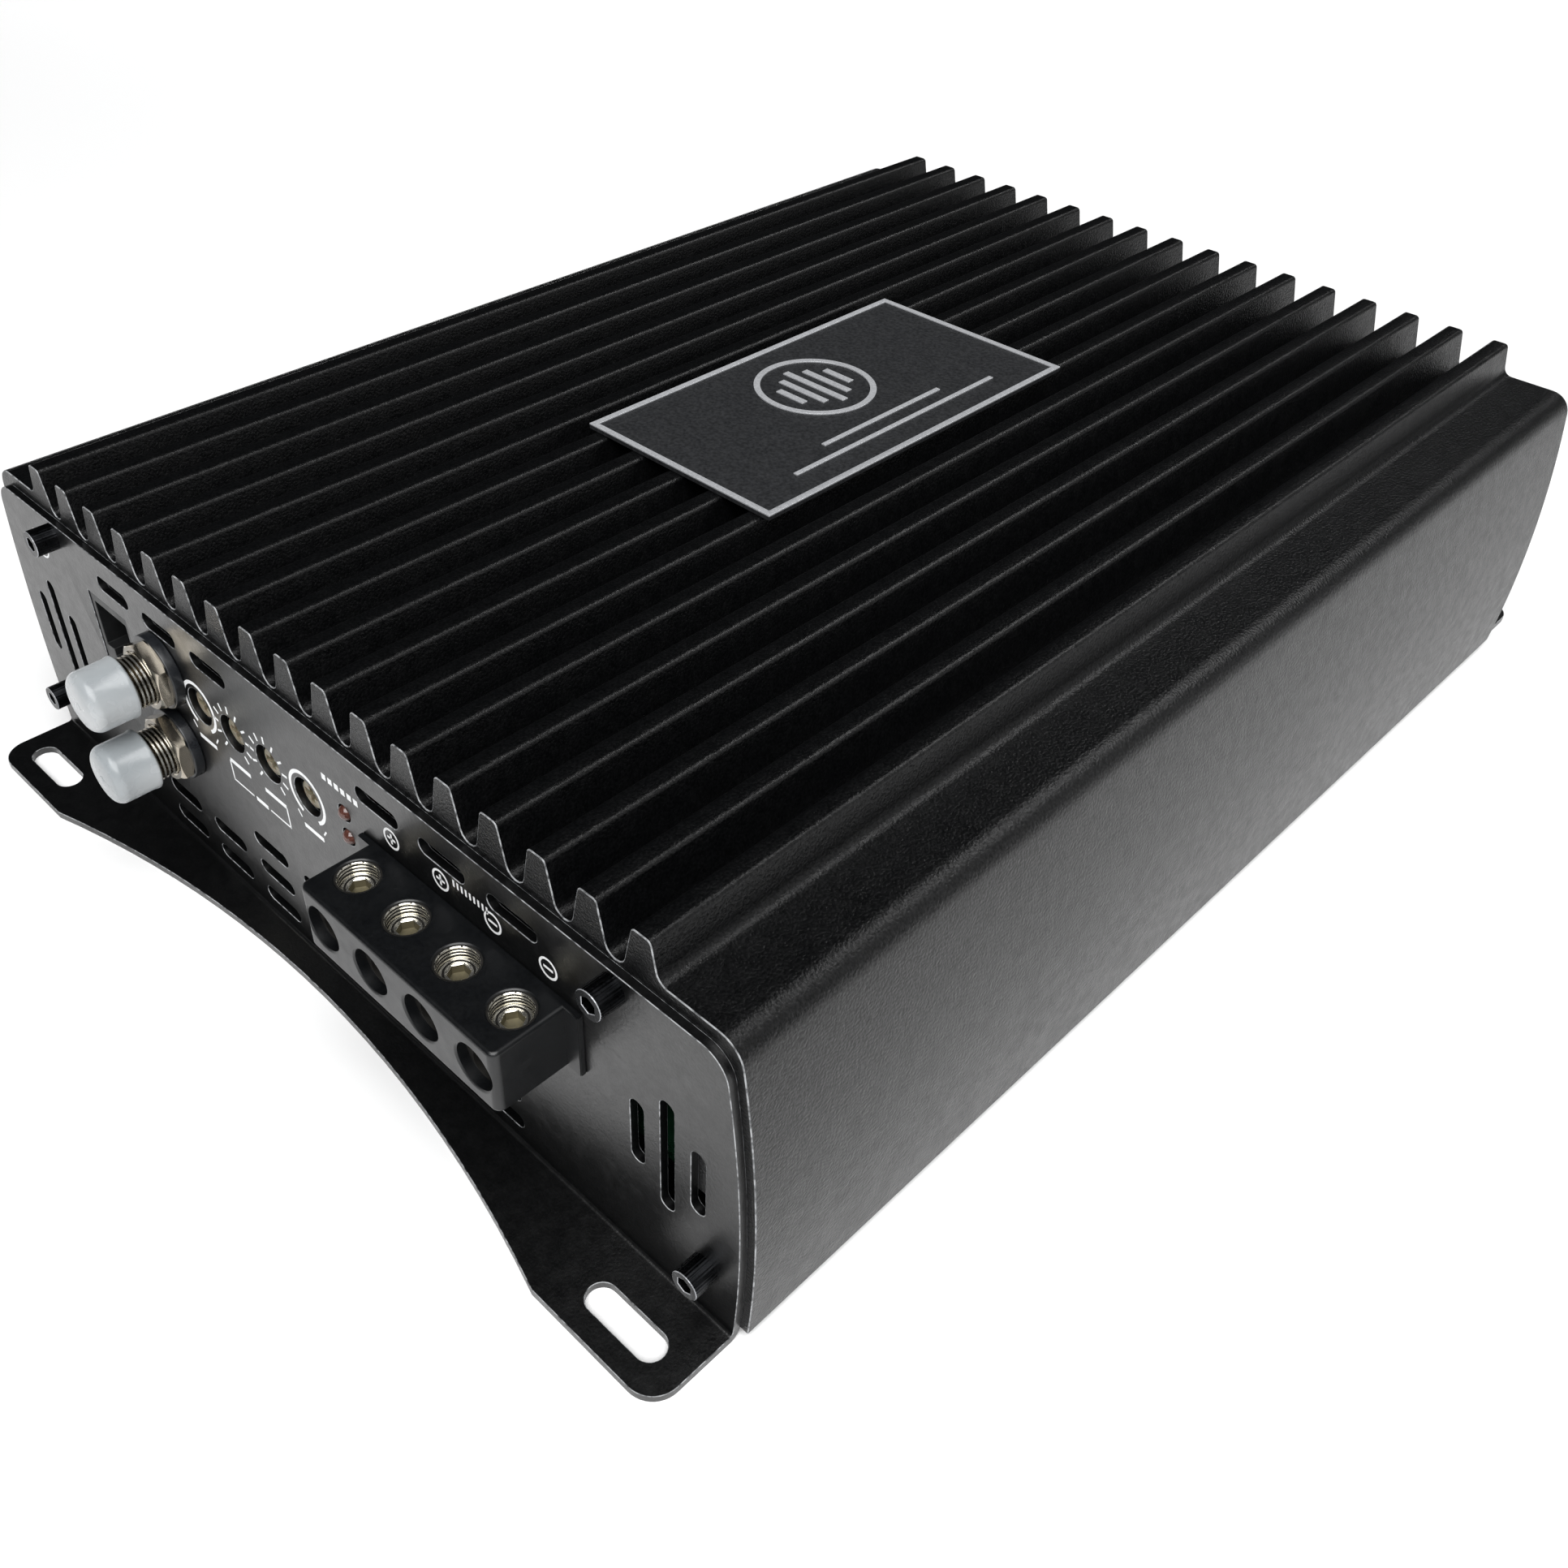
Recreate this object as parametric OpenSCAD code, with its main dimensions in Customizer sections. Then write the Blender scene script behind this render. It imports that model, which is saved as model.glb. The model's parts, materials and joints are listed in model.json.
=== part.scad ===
// Mono-block car amplifier: finned heatsink shell, two folded end panels with
// slotted feet, terminal block, phono inputs with dust caps, recessed level
// controls, remote port and the electronics inside. Millimetres, +Z up. The
// origin is at the bottom centre; the connector panel faces -Y.

/* [Heatsink] */
// Length of the extrusion, front to back
body_d = 251; // [220:1:320]
// Number of fins (odd, so that one stands on the centre line)
fin_count = 17; // [15:2:17]
// Distance from fin to fin
fin_pitch = 10; // [10:0.5:10]
// Height of the fin tips
fin_top_z = 69; // [68:0.5:74]
// Height of the valley floors between the fins
valley_z = 60.8; // [60.5:0.1:61.5]
// Height of the flat shoulder outside the last fin
shoulder_z = 62.6; // [62:0.1:63.5]
// Half the flat width of a fin tip
tip_half_w = 1.75; // [1.5:0.05:2]
// Lean of a fin flank from the vertical, degrees
flank_lean = 12.1; // [11:0.1:12.5]
// Greatest half width, at the middle of the bowed side walls
side_half_w = 101.6; // [101:0.1:103]
// Radius of the side walls' bow
bow_r = 230; // [220:1:260]
// Thickness of the side walls
wall_t = 3.2; // [2.5:0.1:3.4]
// Underside of the roof
roof_z = 55.6; // [55:0.1:56]

/* [End panels] */
// Sheet thickness
panel_t = 1.5; // [1.2:0.1:2]
// Step from the extrusion's outline in to the panel's outline, at the sides
panel_inset = 1.5; // [1:0.1:2]
// Top edge of the panel
panel_top_z = 60.3; // [59.5:0.1:60.6]
// How far each foot flange reaches out from the extrusion's end
flange_w = 17.5; // [17:0.5:22]
// Half the width of the curved cut between the feet
notch_half_w = 73.5; // [68:0.5:75]
// Depth of that curved cut
notch_depth = 10.9; // [8:0.1:11.5]
// Mounting slot: length, end to end
foot_slot_l = 15.5; // [12:0.5:16]
// Mounting slot: width
foot_slot_w = 5.2; // [4.5:0.1:6]
// Mounting slot: distance of its centre from the middle
foot_slot_x = 87; // [85:0.5:88]
// Mounting slot: distance of its centre from the extrusion's end
foot_slot_out = 11; // [10:0.5:12]

/* [Panel screws] */
// Diameter of the socket cap heads
cap_head_d = 5; // [4.5:0.1:5.5]
// Height of the heads
cap_head_h = 4.2; // [3:0.1:4.5]

/* [Terminal block] */
// Distance between terminals
term_pitch = 12; // [12:0.1:12]
// Middle of the block
term_x = 44; // [43:0.5:45]
// Width of the block
term_w = 45.6; // [45:0.1:47]
// Height of the block's middle and of its wire entries
term_z = 40.4; // [40:0.1:41]
// Radius of the wire bore in each metal barrel
wire_r = 2.6; // [2.5:0.1:2.9]
// How far the block stands out from the panel
term_out = 13.4; // [12.5:0.1:14]

/* [Inputs and controls] */
// Phono jacks: distance left of the middle
rca_x = -41.2; // [-42:0.1:-40]
// Phono jacks: heights
rca_z = [46, 30]; // [29:0.1:46.2]
// Level controls: places across the panel
knob_x = [-30.4, -20, -9, 2.4]; // [-31:0.1:4]
// Level controls: height
knob_z = 43.5; // [43:0.1:44]
// Radius of a control's adjuster
knob_r = 2.6; // [2.4:0.1:3.2]
// Status lights: heights
led_z = [47.3, 42.3]; // [41:0.1:48]

/* [Hidden] */
$fn = 64;

eps = 0.01;
front_y = -body_d / 2;
panel_y = front_y - panel_t;          // outer face of the connector panel

// fins and side walls
fin_tip_r = 0.9;
shoulder_fillet_r = 2;
shoulder_corner_r = 4.5;
roof_corner_r = 3;
bow_z = 19;                           // height at which the side walls are widest
bow_x = side_half_w - bow_r;
skirt_z = 1.8;                        // bottom edge of the side walls
fin_last = (fin_count - 1) / 2;
lean_t = tan(flank_lean);
lean_c = cos(flank_lean);
tip_x = tip_half_w + fin_tip_r * (lean_t - 1 / lean_c);
valley_r = (fin_pitch / 2 - tip_half_w - (fin_top_z - valley_z) * lean_t) * lean_c
           / (1 - lean_t * lean_c);
fillet_x = tip_half_w + (fin_top_z - shoulder_z - shoulder_fillet_r) * lean_t
           + shoulder_fillet_r / lean_c;

// screws in the end panels: places on each side of the middle, and the bosses behind them
corner_screws = [[76, 57.2], [93.6, 12.6]];
screw_r = 1.5;
screw_play = 0.15;
boss_r = 3.5;
low_boss_z = [10.6, 14.6];
pilot_depth = 14;
panel_screw_l = 12;
cap_socket_r = 1.45;
cap_socket_depth = 2.2;

// panel outline and bend
panel_corner_r = 5;
bend_r = 0.8;
flange_corner_r = 5;
bend_out_r = bend_r + panel_t;
// half-width of the flange and the bend: the outline's at the bend's top
panel_half_w = bow_x + sqrt(pow(bow_r - panel_inset, 2) - pow(bow_z - bend_out_r, 2));

// ventilation slots
vent_w = 3;
vent_l = 10.8;
vent_pitch = 15.8;
vent_top_z = 54.8;
vent_low_z = [6.2, 13, 19.8];
louvre_x = [80, 86, 92];
louvre_l = [13.5, 24, 13.5];
louvre_z = 30.9;
louvre_w = 2.8;

// bottom cover and the ledges that it is screwed to
cover_t = 1.6;
cover_z = 2;
cover_half_w = 96.6;
cover_gap = 0.4;
ledge_t = 3;
ledge_x = 88;
cover_screw_x = 91;
cover_screw_y = [-100, 0, 100];
cover_slot_l = 3.2;
cover_slot_w = 0.6;
cover_slot_depth = 0.9;
cover_head_r = 2.9;
cover_play = 0.05;

// boards
board_t = 1.6;
board_z = 22;
board_top = board_z + board_t;
board_half_w = 88.5;
board_front_gap = 3;
board_rear_gap = 7;
control_y = front_y + 14;             // front face of the upright control board
control_x = [-70, 19];
control_top_z = 54.2;
driver_y = 62;                        // back face of the upright driver board
driver_x = [-30, 40];
driver_top_z = 47.6;
standoff_xy = [for (x = [-78, 78], y = [-92, 4, 108]) [x, y]];
standoff_r = 3.2;
board_screw_l = 8;
pan_head_r = 2.8;
pan_head_h = 2;

// header pins of the two upright boards
pin_w = 0.64;
pin_hole_r = 0.5;
pin_first_x = -24;
control_pin_x = [for (i = [0:7]) pin_first_x + i * 2.54];
control_pin_y = control_y + board_t + 2;
control_pin_z = board_top + 4;
driver_pin_x = [for (i = [0:11]) pin_first_x + i * 5.08];
driver_pin_z = board_top + 3;

// nameplate
plate_w = 46.8;
plate_d = 86.2;
plate_t = 0.8;
plate_rim = 1.3;
plate_relief = 0.3;
emblem_x = -5;
emblem_r = 12.2;
emblem_line = 1.3;
bar_l = [7, 12, 16, 12, 7];
bar_w = 1.5;
bar_pitch = 3.4;
stripe_x = [12.5, 16.5];
stripe_l = [34, 58];
stripe_w = 1;

// terminal block
term_h = 12.4;
term_corner_r = 1.4;
term_flange = 2.8;
term_neck = [45.2, 11];               // the block's section where it passes the panel
term_in = 14;                         // reach of the block behind the panel's outer face
term_hole_r = 3.9;
barrel_w = 8;
barrel_h = 9.8;
barrel_front = 1.9;                   // plastic in front of each barrel
barrel_back = 9;                      // reach of the barrels behind the panel
barrel_neck_drop = 0.3;               // depth of their necks' tops below the block's top
tail_w = 6;
tail_t = 1.5;
tail_y = panel_y + term_in + 2.5;     // back of the tails that go down to the main board
term_screw_out = 6.1;                 // set screws' distance from the panel
term_screw_r = 3.1;
term_screw_top = 2.2;                 // depth of a set screw's top below the block's top
term_screw_gap = 0.1;                 // between a set screw's foot and the wire bore
term_tap_below = 0.8;                 // reach of a set screw's tapped hole below the wire's axis
term_screw_fit = 0.05;
term_socket_r = 1.75;
term_socket_depth = 1.8;
wire_z = term_z - 1.4;                // axis of the wire bores
wire_depth = 19.4;                    // depth of the wire bores from the block's front
term_xs = [for (i = [0:3]) term_x + (i - 1.5) * term_pitch];
term_y0 = panel_y - term_out;
term_top = term_z + term_h / 2;

// phono jacks
rca_housing_w = 11;
rca_housing_top = 53;
shell_r = 4.15;
shell_bore_r = 3.3;
shell_edge = 0.4;
contact_r = 1.9;
contact_bore_r = 1.6;
contact_drop = 1.2;
insulator_drop = 1;
washer_r = 7;
washer_t = 2;
nut_r = 6.9;
nut_t = 2.2;
thread_r = 4.8;
thread_root_r = 4.4;
thread_pitch = 0.8;
thread_out = 7.4;
shell_out = 14.7;
cap_r = 5.8;
cap_l = 8.3;
cap_gap = 0.2;
cap_edge_r = 1.8;
cap_fit = 0.08;

// level controls
knob_fit = 0.05;
knob_hole_r = 3.6;
knob_drop = 0.9;                      // depth of a knob's face behind the panel's face
knob_end_gap = 0.3;                   // between a knob's inner end and the floor of its seat
knob_slot_l = 4;
knob_slot_w = 0.9;
knob_slot_depth = 1.2;
pot_w = 8.6;
pot_depth = 8;
pot_floor = 2;
led_x = 13.7;
led_r = 1.5;
led_drop = 0.6;

// remote port
port_x = -59.8;
port_z = 42.75;
port_w = 13.8;
port_h = 14.9;
port_fit = 0.2;
port_depth = 15.3;
port_floor = 2;
port_socket = [11.2, 9.4];
port_socket_up = 0.8;
port_latch = [6, 2.2];
port_latch_down = 4.4;
port_pin_pitch = 1.27;
port_pin_w = 0.5;
port_pin_z = [port_z + 4.7, port_z + 5.5];
port_pin_l = 10;

// power devices on the side walls
pad_x = 90;
pad_z = [27, 43];
strip_t = 0.3;
device_t = 4.5;
device_w = 10;
device_h = 15;
device_z = 28;
device_pitch = 16;
device_count = 10;
device_y0 = -72;
clamp_t = 1.5;
clamp_h = 8;
clamp_z = 36;
clamp_head_r = 2.7;
clamp_head_h = 2.4;
clamp_socket_r = 1.4;
clamp_socket_depth = 1.3;
clamp_screw_x = 96;
clamp_hole_x = 96.5;
leg_pitch = 2.54;
leg_w = 0.8;
leg_x = [1.6, 2.2];
bar_end = 5;                          // strips and clamps past the outermost screws

// ferrite ring [inner radius, outer radius, height] and the wire wound round it
transformer = [14, 25, 14];
transformer_wire = 3.2;
transformer_at = [-4, -52, board_top + transformer_wire];
inductor = [7, 13.5, 12];
inductor_wire = 2.2;
inductor_at = [44, -58, board_top + inductor_wire];

// electrolytic capacitors
large_cap = [9, 28];
large_cap_x = [-52, -30, -8, 14, 36, 58];
large_cap_y = [10, 34];
input_cap = [8, 24];
input_cap_x = [24, 44, 64];
input_cap_y = -88;

// ---------- shapes used more than once ----------

function arc(c, r, a0, a1, n) = [for (i = [0:n]) let (a = a0 + (a1 - a0) * i / n)
                                 [c[0] + r * cos(a), c[1] + r * sin(a)]];

function mirrored(path) = [for (i = [len(path) - 1:-1:0]) [-path[i][0], path[i][1]]];

// right-hand side of the body, from its top corner down: a corner arc, then the bow
function side_path(inset, top_z, corner_r, bottom_z) =
    let (r = bow_r - inset, zc = top_z - corner_r, rise = zc - bow_z,
         xc = bow_x + sqrt(pow(r - corner_r, 2) - pow(rise, 2)),
         a_top = asin(rise / (r - corner_r)), a_low = asin((bottom_z - bow_z) / r))
    concat(arc([xc, zc], corner_r, 90, a_top, 8), arc([bow_x, bow_z], r, a_top, a_low, 20));

// right-hand half of the fins, from the centre fin's tip out to the shoulder
function fin_path() = [for (i = [0:fin_last]) each concat(
    i > 0 ? arc([i * fin_pitch - tip_x, fin_top_z - fin_tip_r], fin_tip_r, 180 - flank_lean, 90, 4) : [],
    arc([i * fin_pitch + tip_x, fin_top_z - fin_tip_r], fin_tip_r, 90, flank_lean, 4),
    i < fin_last
        ? arc([(i + 0.5) * fin_pitch, valley_z + valley_r], valley_r, 180 + flank_lean, 360 - flank_lean, 6)
        : arc([i * fin_pitch + fillet_x, shoulder_z + shoulder_fillet_r], shoulder_fillet_r,
              180 + flank_lean, 270, 5))];

function reversed(path) = [for (i = [len(path) - 1:-1:0]) path[i]];

function profile_half() = concat(fin_path(), side_path(0, shoulder_z, shoulder_corner_r, skirt_z),
                                 reversed(side_path(wall_t, roof_z, roof_corner_r, skirt_z)));

// a flat shape drawn in X and Z, made solid from y - t to y
module slab_y(y, t) {
    translate([0, y, 0]) rotate([90, 0, 0]) linear_extrude(height = t) children();
}

module rod_y(x, z, y0, y1, r) {
    slab_y(y1, y1 - y0) translate([x, z]) circle(r);
}

module rod_x(x0, x1, y, z, r) {
    translate([x0, y, z]) rotate([0, 90, 0]) cylinder(h = x1 - x0, r = r);
}

module box(x0, x1, y0, y1, z0, z1) {
    translate([x0, y0, z0]) cube([x1 - x0, y1 - y0, z1 - z0]);
}

// flat slot with round ends, long in X
module stadium(l, w) {
    square([l - w, w], center = true);
    for (s = [-1, 1]) translate([s * (l - w) / 2, 0]) circle(w / 2);
}

module both_sides() {
    children();
    mirror([1, 0, 0]) children();
}

// solid of revolution about an axis along Y; the outline is [radius, distance towards -Y]
module turned_y(x, y, z) {
    translate([x, y, z]) rotate([90, 0, 0]) rotate_extrude() children();
}

module ring_2d(r_out, r_in) {
    difference() {
        circle(r_out);
        circle(r_in);
    }
}

// ---------- casing ----------

// middle of a side wall's thickness at height z
function wall_mid_x(z) = bow_x + sqrt(pow(bow_r - wall_t / 2, 2) - pow(z - bow_z, 2));

// bar along the inside of a side wall, from x into the wall
module wall_bar(x, z) {
    box(x, min(wall_mid_x(z[0]), wall_mid_x(z[1])), front_y, -front_y, z[0], z[1]);
}

module heatsink() {
    half = profile_half();
    color([0.06, 0.06, 0.065]) difference() {
        union() {
            slab_y(-front_y, body_d) polygon(concat(half, mirrored(half)));
            both_sides() {
                for (p = corner_screws) rod_y(p[0], p[1], front_y, -front_y, boss_r);
                wall_bar(corner_screws[1][0], low_boss_z);
                wall_bar(ledge_x, [cover_z + cover_t, cover_z + cover_t + ledge_t]);
                wall_bar(pad_x, pad_z);
            }
        }
        both_sides() {
            for (p = corner_screws) {
                rod_y(p[0], p[1], front_y - eps, front_y + pilot_depth, screw_r);
                rod_y(p[0], p[1], -front_y - pilot_depth, -front_y + eps, screw_r);
            }
            for (y = cover_screw_y) translate([cover_screw_x, y, cover_z])
                cylinder(h = cover_t + ledge_t + 2, r = screw_r);
            for (i = [0:device_count]) rod_x(pad_x - eps, clamp_hole_x, gap_y(i), clamp_z, screw_r);
        }
    }
}

module panel_outline() {
    half = concat(side_path(panel_inset, panel_top_z, panel_corner_r, 0), [[0, 0]]);
    polygon(concat(half, mirrored(half)));
}

module flange_outline() {
    difference() {
        union() {
            translate([-panel_half_w, -flange_w + flange_corner_r])
                square([2 * panel_half_w, flange_w - flange_corner_r]);
            translate([-panel_half_w + flange_corner_r, -flange_w])
                square([2 * (panel_half_w - flange_corner_r), flange_corner_r + eps]);
            for (s = [-1, 1]) translate([s * (panel_half_w - flange_corner_r), -flange_w + flange_corner_r])
                circle(flange_corner_r);
        }
        notch_r = (pow(notch_half_w, 2) + pow(notch_depth, 2)) / (2 * notch_depth);
        translate([0, -flange_w + notch_depth - notch_r]) circle(notch_r, $fn = 720);
        for (s = [-1, 1]) translate([s * foot_slot_x, -foot_slot_out]) stadium(foot_slot_l, foot_slot_w);
    }
}

// folded sheet: upright plate, foot flange and the bend between them
module bracket_blank() {
    difference() {
        union() {
            slab_y(front_y, panel_t) panel_outline();
            box(-panel_half_w, panel_half_w, panel_y, front_y, 0, bend_out_r);
            translate([0, front_y, 0]) linear_extrude(height = panel_t) flange_outline();
            difference() {
                box(-panel_half_w, panel_half_w, panel_y - bend_r, panel_y + eps, panel_t - eps, bend_out_r);
                rod_x(-side_half_w, side_half_w, panel_y - bend_r, bend_out_r, bend_r);
            }
        }
        difference() {
            box(-side_half_w, side_half_w, front_y - bend_out_r, front_y + eps, -eps, bend_out_r);
            rod_x(-side_half_w - 1, side_half_w + 1, front_y - bend_out_r, bend_out_r, bend_out_r);
        }
        slab_y(front_y + eps, panel_t + 2 * eps) both_sides() {
            for (p = corner_screws) translate(p) circle(screw_r + screw_play);
        }
    }
}

module top_vents(cols) {
    for (c = cols) translate([c * vent_pitch, vent_top_z]) stadium(vent_l, vent_w);
}

module low_vents() {
    for (c = [-3:3], row = [0:(abs(c) > 1 ? 1 : 2)])
        translate([c * vent_pitch, vent_low_z[row]]) stadium(vent_l, vent_w);
}

module louvres() {
    both_sides() for (i = [0:2])
        translate([louvre_x[i], louvre_z]) rotate(90) stadium(louvre_l[i], louvre_w);
}

module front_panel() {
    color([0.10, 0.10, 0.105]) difference() {
        bracket_blank();
        slab_y(front_y + eps, panel_t + 2 * eps) {
            top_vents([-3.5, -2.5, -1.5, 1.5, 2.5, 3.5]);
            low_vents();
            louvres();
            for (z = rca_z) translate([rca_x, z]) circle(thread_r + 0.1);
            for (x = knob_x) translate([x, knob_z]) circle(knob_hole_r);
            for (z = led_z) translate([led_x, z]) circle(led_r + screw_play);
            translate([port_x, port_z]) square([port_w, port_h], center = true);
            translate([term_x, term_z])
                square([term_neck[0] + screw_play, term_neck[1] + screw_play], center = true);
        }
    }
}

module rear_panel() {
    color([0.10, 0.10, 0.105]) mirror([0, 1, 0]) difference() {
        bracket_blank();
        slab_y(front_y + eps, panel_t + 2 * eps) {
            top_vents([-3.5, -2.5, -1.5, -0.5, 0.5, 1.5, 2.5, 3.5]);
            low_vents();
            louvres();
        }
    }
}

module bottom_cover() {
    color([0.08, 0.08, 0.085]) difference() {
        box(-cover_half_w, cover_half_w, front_y + cover_gap, -front_y - cover_gap, cover_z,
            cover_z + cover_t);
        both_sides() for (y = cover_screw_y) translate([cover_screw_x, y, cover_z - eps])
            cylinder(h = cover_t + 2 * eps, r1 = cover_head_r + cover_play, r2 = screw_r + cover_play);
    }
}

// cross recess for a screwdriver, cut upwards from z = 0
module cross_slot(l, w, depth) {
    for (a = [0, 90]) rotate(a) translate([-l / 2, -w / 2, 0]) cube([l, w, depth]);
}

// socket cap screw at the origin, head towards -Y, shank towards +Y
module cap_screw(shank_l) {
    difference() {
        union() {
            rod_y(0, 0, -cap_head_h, 0, cap_head_d / 2);
            rod_y(0, 0, 0, shank_l, screw_r);
        }
        slab_y(-cap_head_h + cap_socket_depth, cap_socket_depth + eps) circle(cap_socket_r, $fn = 6);
    }
}

module front_panel_screws() {
    color([0.05, 0.05, 0.05]) both_sides()
        for (p = corner_screws) translate([p[0], panel_y, p[1]]) cap_screw(panel_screw_l);
}

module rear_panel_screws() {
    color([0.05, 0.05, 0.05]) mirror([0, 1, 0]) front_panel_screws();
}

module bottom_cover_screws() {
    color([0.05, 0.05, 0.05]) both_sides() for (y = cover_screw_y) translate([cover_screw_x, y, cover_z])
        difference() {
            union() {
                cylinder(h = cover_t, r1 = cover_head_r, r2 = screw_r);
                cylinder(h = cover_t + ledge_t + 1.2, r = screw_r);
            }
            translate([0, 0, -eps]) cross_slot(cover_slot_l, cover_slot_w, cover_slot_depth);
        }
}

// ---------- nameplate ----------

module nameplate() {
    color([0.03, 0.03, 0.03]) translate([0, 0, fin_top_z])
        linear_extrude(height = plate_t) square([plate_w, plate_d], center = true);
}

module nameplate_frame() {
    color([0.80, 0.80, 0.82]) translate([0, 0, fin_top_z + plate_t]) linear_extrude(height = plate_relief)
        difference() {
            square([plate_w, plate_d], center = true);
            square([plate_w - 2 * plate_rim, plate_d - 2 * plate_rim], center = true);
        }
}

// plain decoration: a ring round five level bars, and two pinstripes beside it
module nameplate_emblem() {
    color([0.72, 0.72, 0.74]) translate([0, 0, fin_top_z + plate_t]) linear_extrude(height = plate_relief) {
        translate([emblem_x, 0]) {
            ring_2d(emblem_r, emblem_r - emblem_line);
            for (i = [-2:2]) translate([0, i * bar_pitch]) square([bar_l[i + 2], bar_w], center = true);
        }
        for (k = [0, 1]) translate([stripe_x[k], 0]) square([stripe_w, stripe_l[k]], center = true);
    }
}

// ---------- terminal block ----------

module term_body_outline() {
    w = term_w - 2 * term_corner_r;
    translate([term_x, 0]) {
        translate([-w / 2, -term_out]) square([w, term_out]);
        translate([-term_w / 2, -term_out + term_corner_r]) square([term_w, term_out - term_corner_r]);
        for (s = [-1, 1]) translate([s * w / 2, -term_out + term_corner_r]) circle(term_corner_r);
    }
}

module terminal_block() {
    color([0.03, 0.03, 0.032]) difference() {
        union() {
            translate([0, panel_y, term_z - term_h / 2]) linear_extrude(height = term_h) term_body_outline();
            slab_y(panel_y, 1) translate([term_x, term_z])
                square([term_w + 2 * term_flange, term_h], center = true);
            slab_y(panel_y + term_in, term_in) translate([term_x, term_z])
                square(term_neck, center = true);
        }
        for (x = term_xs) {
            rod_y(x, term_z, term_y0 - eps, term_y0 + barrel_front + eps, term_hole_r);
            box(x - barrel_w / 2, x + barrel_w / 2, term_y0 + barrel_front, panel_y + term_in + eps,
                term_z - barrel_h / 2, term_z + barrel_h / 2);
            translate([x, panel_y - term_screw_out, term_z]) cylinder(h = term_h, r = term_hole_r);
        }
    }
}

// nickel-plated barrel with a wire bore, a threaded neck for its set screw and a board tail
module terminal_barrel(x) {
    neck_y = panel_y - term_screw_out;
    tail_x0 = x - tail_w / 2;
    tail_x1 = x + tail_w / 2;
    difference() {
        union() {
            box(x - barrel_w / 2, x + barrel_w / 2, term_y0 + barrel_front, panel_y + barrel_back,
                term_z - barrel_h / 2, term_z + barrel_h / 2);
            translate([x, neck_y, term_z]) cylinder(h = term_h / 2 - barrel_neck_drop, r = term_hole_r);
            box(tail_x0, tail_x1, tail_y - tail_t, tail_y, board_top, term_z);
            box(tail_x0, tail_x1, panel_y + barrel_back - 1, tail_y, term_z - tail_t, term_z);
        }
        rod_y(x, wire_z, term_y0, term_y0 + wire_depth, wire_r);
        translate([x, neck_y, wire_z - term_tap_below]) cylinder(h = term_h, r = term_screw_r + term_screw_fit);
    }
}

module terminal_barrels() {
    color([0.75, 0.73, 0.68]) for (x = term_xs) terminal_barrel(x);
}

module terminal_screw(x) {
    foot = wire_z + wire_r + term_screw_gap;
    length = term_top - term_screw_top - foot;
    color([0.78, 0.77, 0.74]) translate([x, panel_y - term_screw_out, foot]) difference() {
        cylinder(h = length, r = term_screw_r);
        translate([0, 0, length - term_socket_depth])
            cylinder(h = term_socket_depth + eps, r = term_socket_r, $fn = 6);
    }
}

// ---------- phono inputs ----------

module rca_housing() {
    half_w = rca_housing_w / 2;
    color([0.05, 0.05, 0.05]) difference() {
        box(rca_x - half_w, rca_x + half_w, front_y, control_y, board_top, rca_housing_top);
        for (z = rca_z) rod_y(rca_x, z, front_y - eps, control_y + eps, thread_r);
    }
}

// threaded barrel with the outer contact in front, turned as one piece
module rca_shells() {
    tail = panel_y - control_y;
    crests = [for (d = [0:thread_pitch:thread_out - 2 * thread_pitch])
              each [[thread_root_r, d], [thread_r, d + thread_pitch / 2]]];
    outline = concat([[shell_bore_r, tail], [thread_r, tail], [thread_r, 0]], crests,
                     [[thread_root_r, thread_out], [shell_r, thread_out], [shell_r, shell_out - shell_edge],
                      [shell_r - shell_edge, shell_out], [shell_bore_r, shell_out]]);
    color([0.78, 0.75, 0.68]) for (z = rca_z) turned_y(rca_x, panel_y, z) polygon(outline);
}

// ring inside both jacks, from the control board to just short of the shells' mouths
module jack_liner(drop, r_out, r_in) {
    for (z = rca_z) slab_y(control_y, control_y - panel_y + shell_out - drop) translate([rca_x, z])
        ring_2d(r_out, r_in);
}

module rca_insulators() {
    color([0.90, 0.90, 0.88]) jack_liner(insulator_drop, shell_bore_r, contact_r);
}

module rca_centre_contacts() {
    color([0.78, 0.75, 0.68]) jack_liner(contact_drop, contact_r, contact_bore_r);
}

module rca_washers() {
    color([0.04, 0.04, 0.04]) for (z = rca_z)
        slab_y(panel_y, washer_t) translate([rca_x, z]) ring_2d(washer_r, thread_r);
}

module rca_nuts() {
    color([0.78, 0.75, 0.68]) for (z = rca_z)
        slab_y(panel_y - washer_t, nut_t) translate([rca_x, z]) difference() {
            circle(nut_r, $fn = 6);
            circle(thread_r);
        }
}

module rca_cap(z) {
    inner_r = shell_r + cap_fit;
    start = thread_out + cap_gap;
    floor_at = shell_out + cap_gap;
    end = start + cap_l;
    outline = concat([[inner_r, start], [cap_r, start]],
                     arc([cap_r - cap_edge_r, end - cap_edge_r], cap_edge_r, 0, 90, 5),
                     [[0, end], [0, floor_at], [inner_r, floor_at]]);
    color([0.92, 0.93, 0.94]) turned_y(rca_x, panel_y, z) polygon(outline);
}

// ---------- level controls and lights ----------

module potentiometer_bodies() {
    color([0.12, 0.20, 0.30]) for (x = knob_x) difference() {
        box(x - pot_w / 2, x + pot_w / 2, control_y - pot_depth, control_y, knob_z - pot_w / 2,
            knob_z + pot_w / 2);
        rod_y(x, knob_z, control_y - pot_depth - eps, control_y - pot_floor, knob_r + knob_fit);
    }
}

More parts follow.
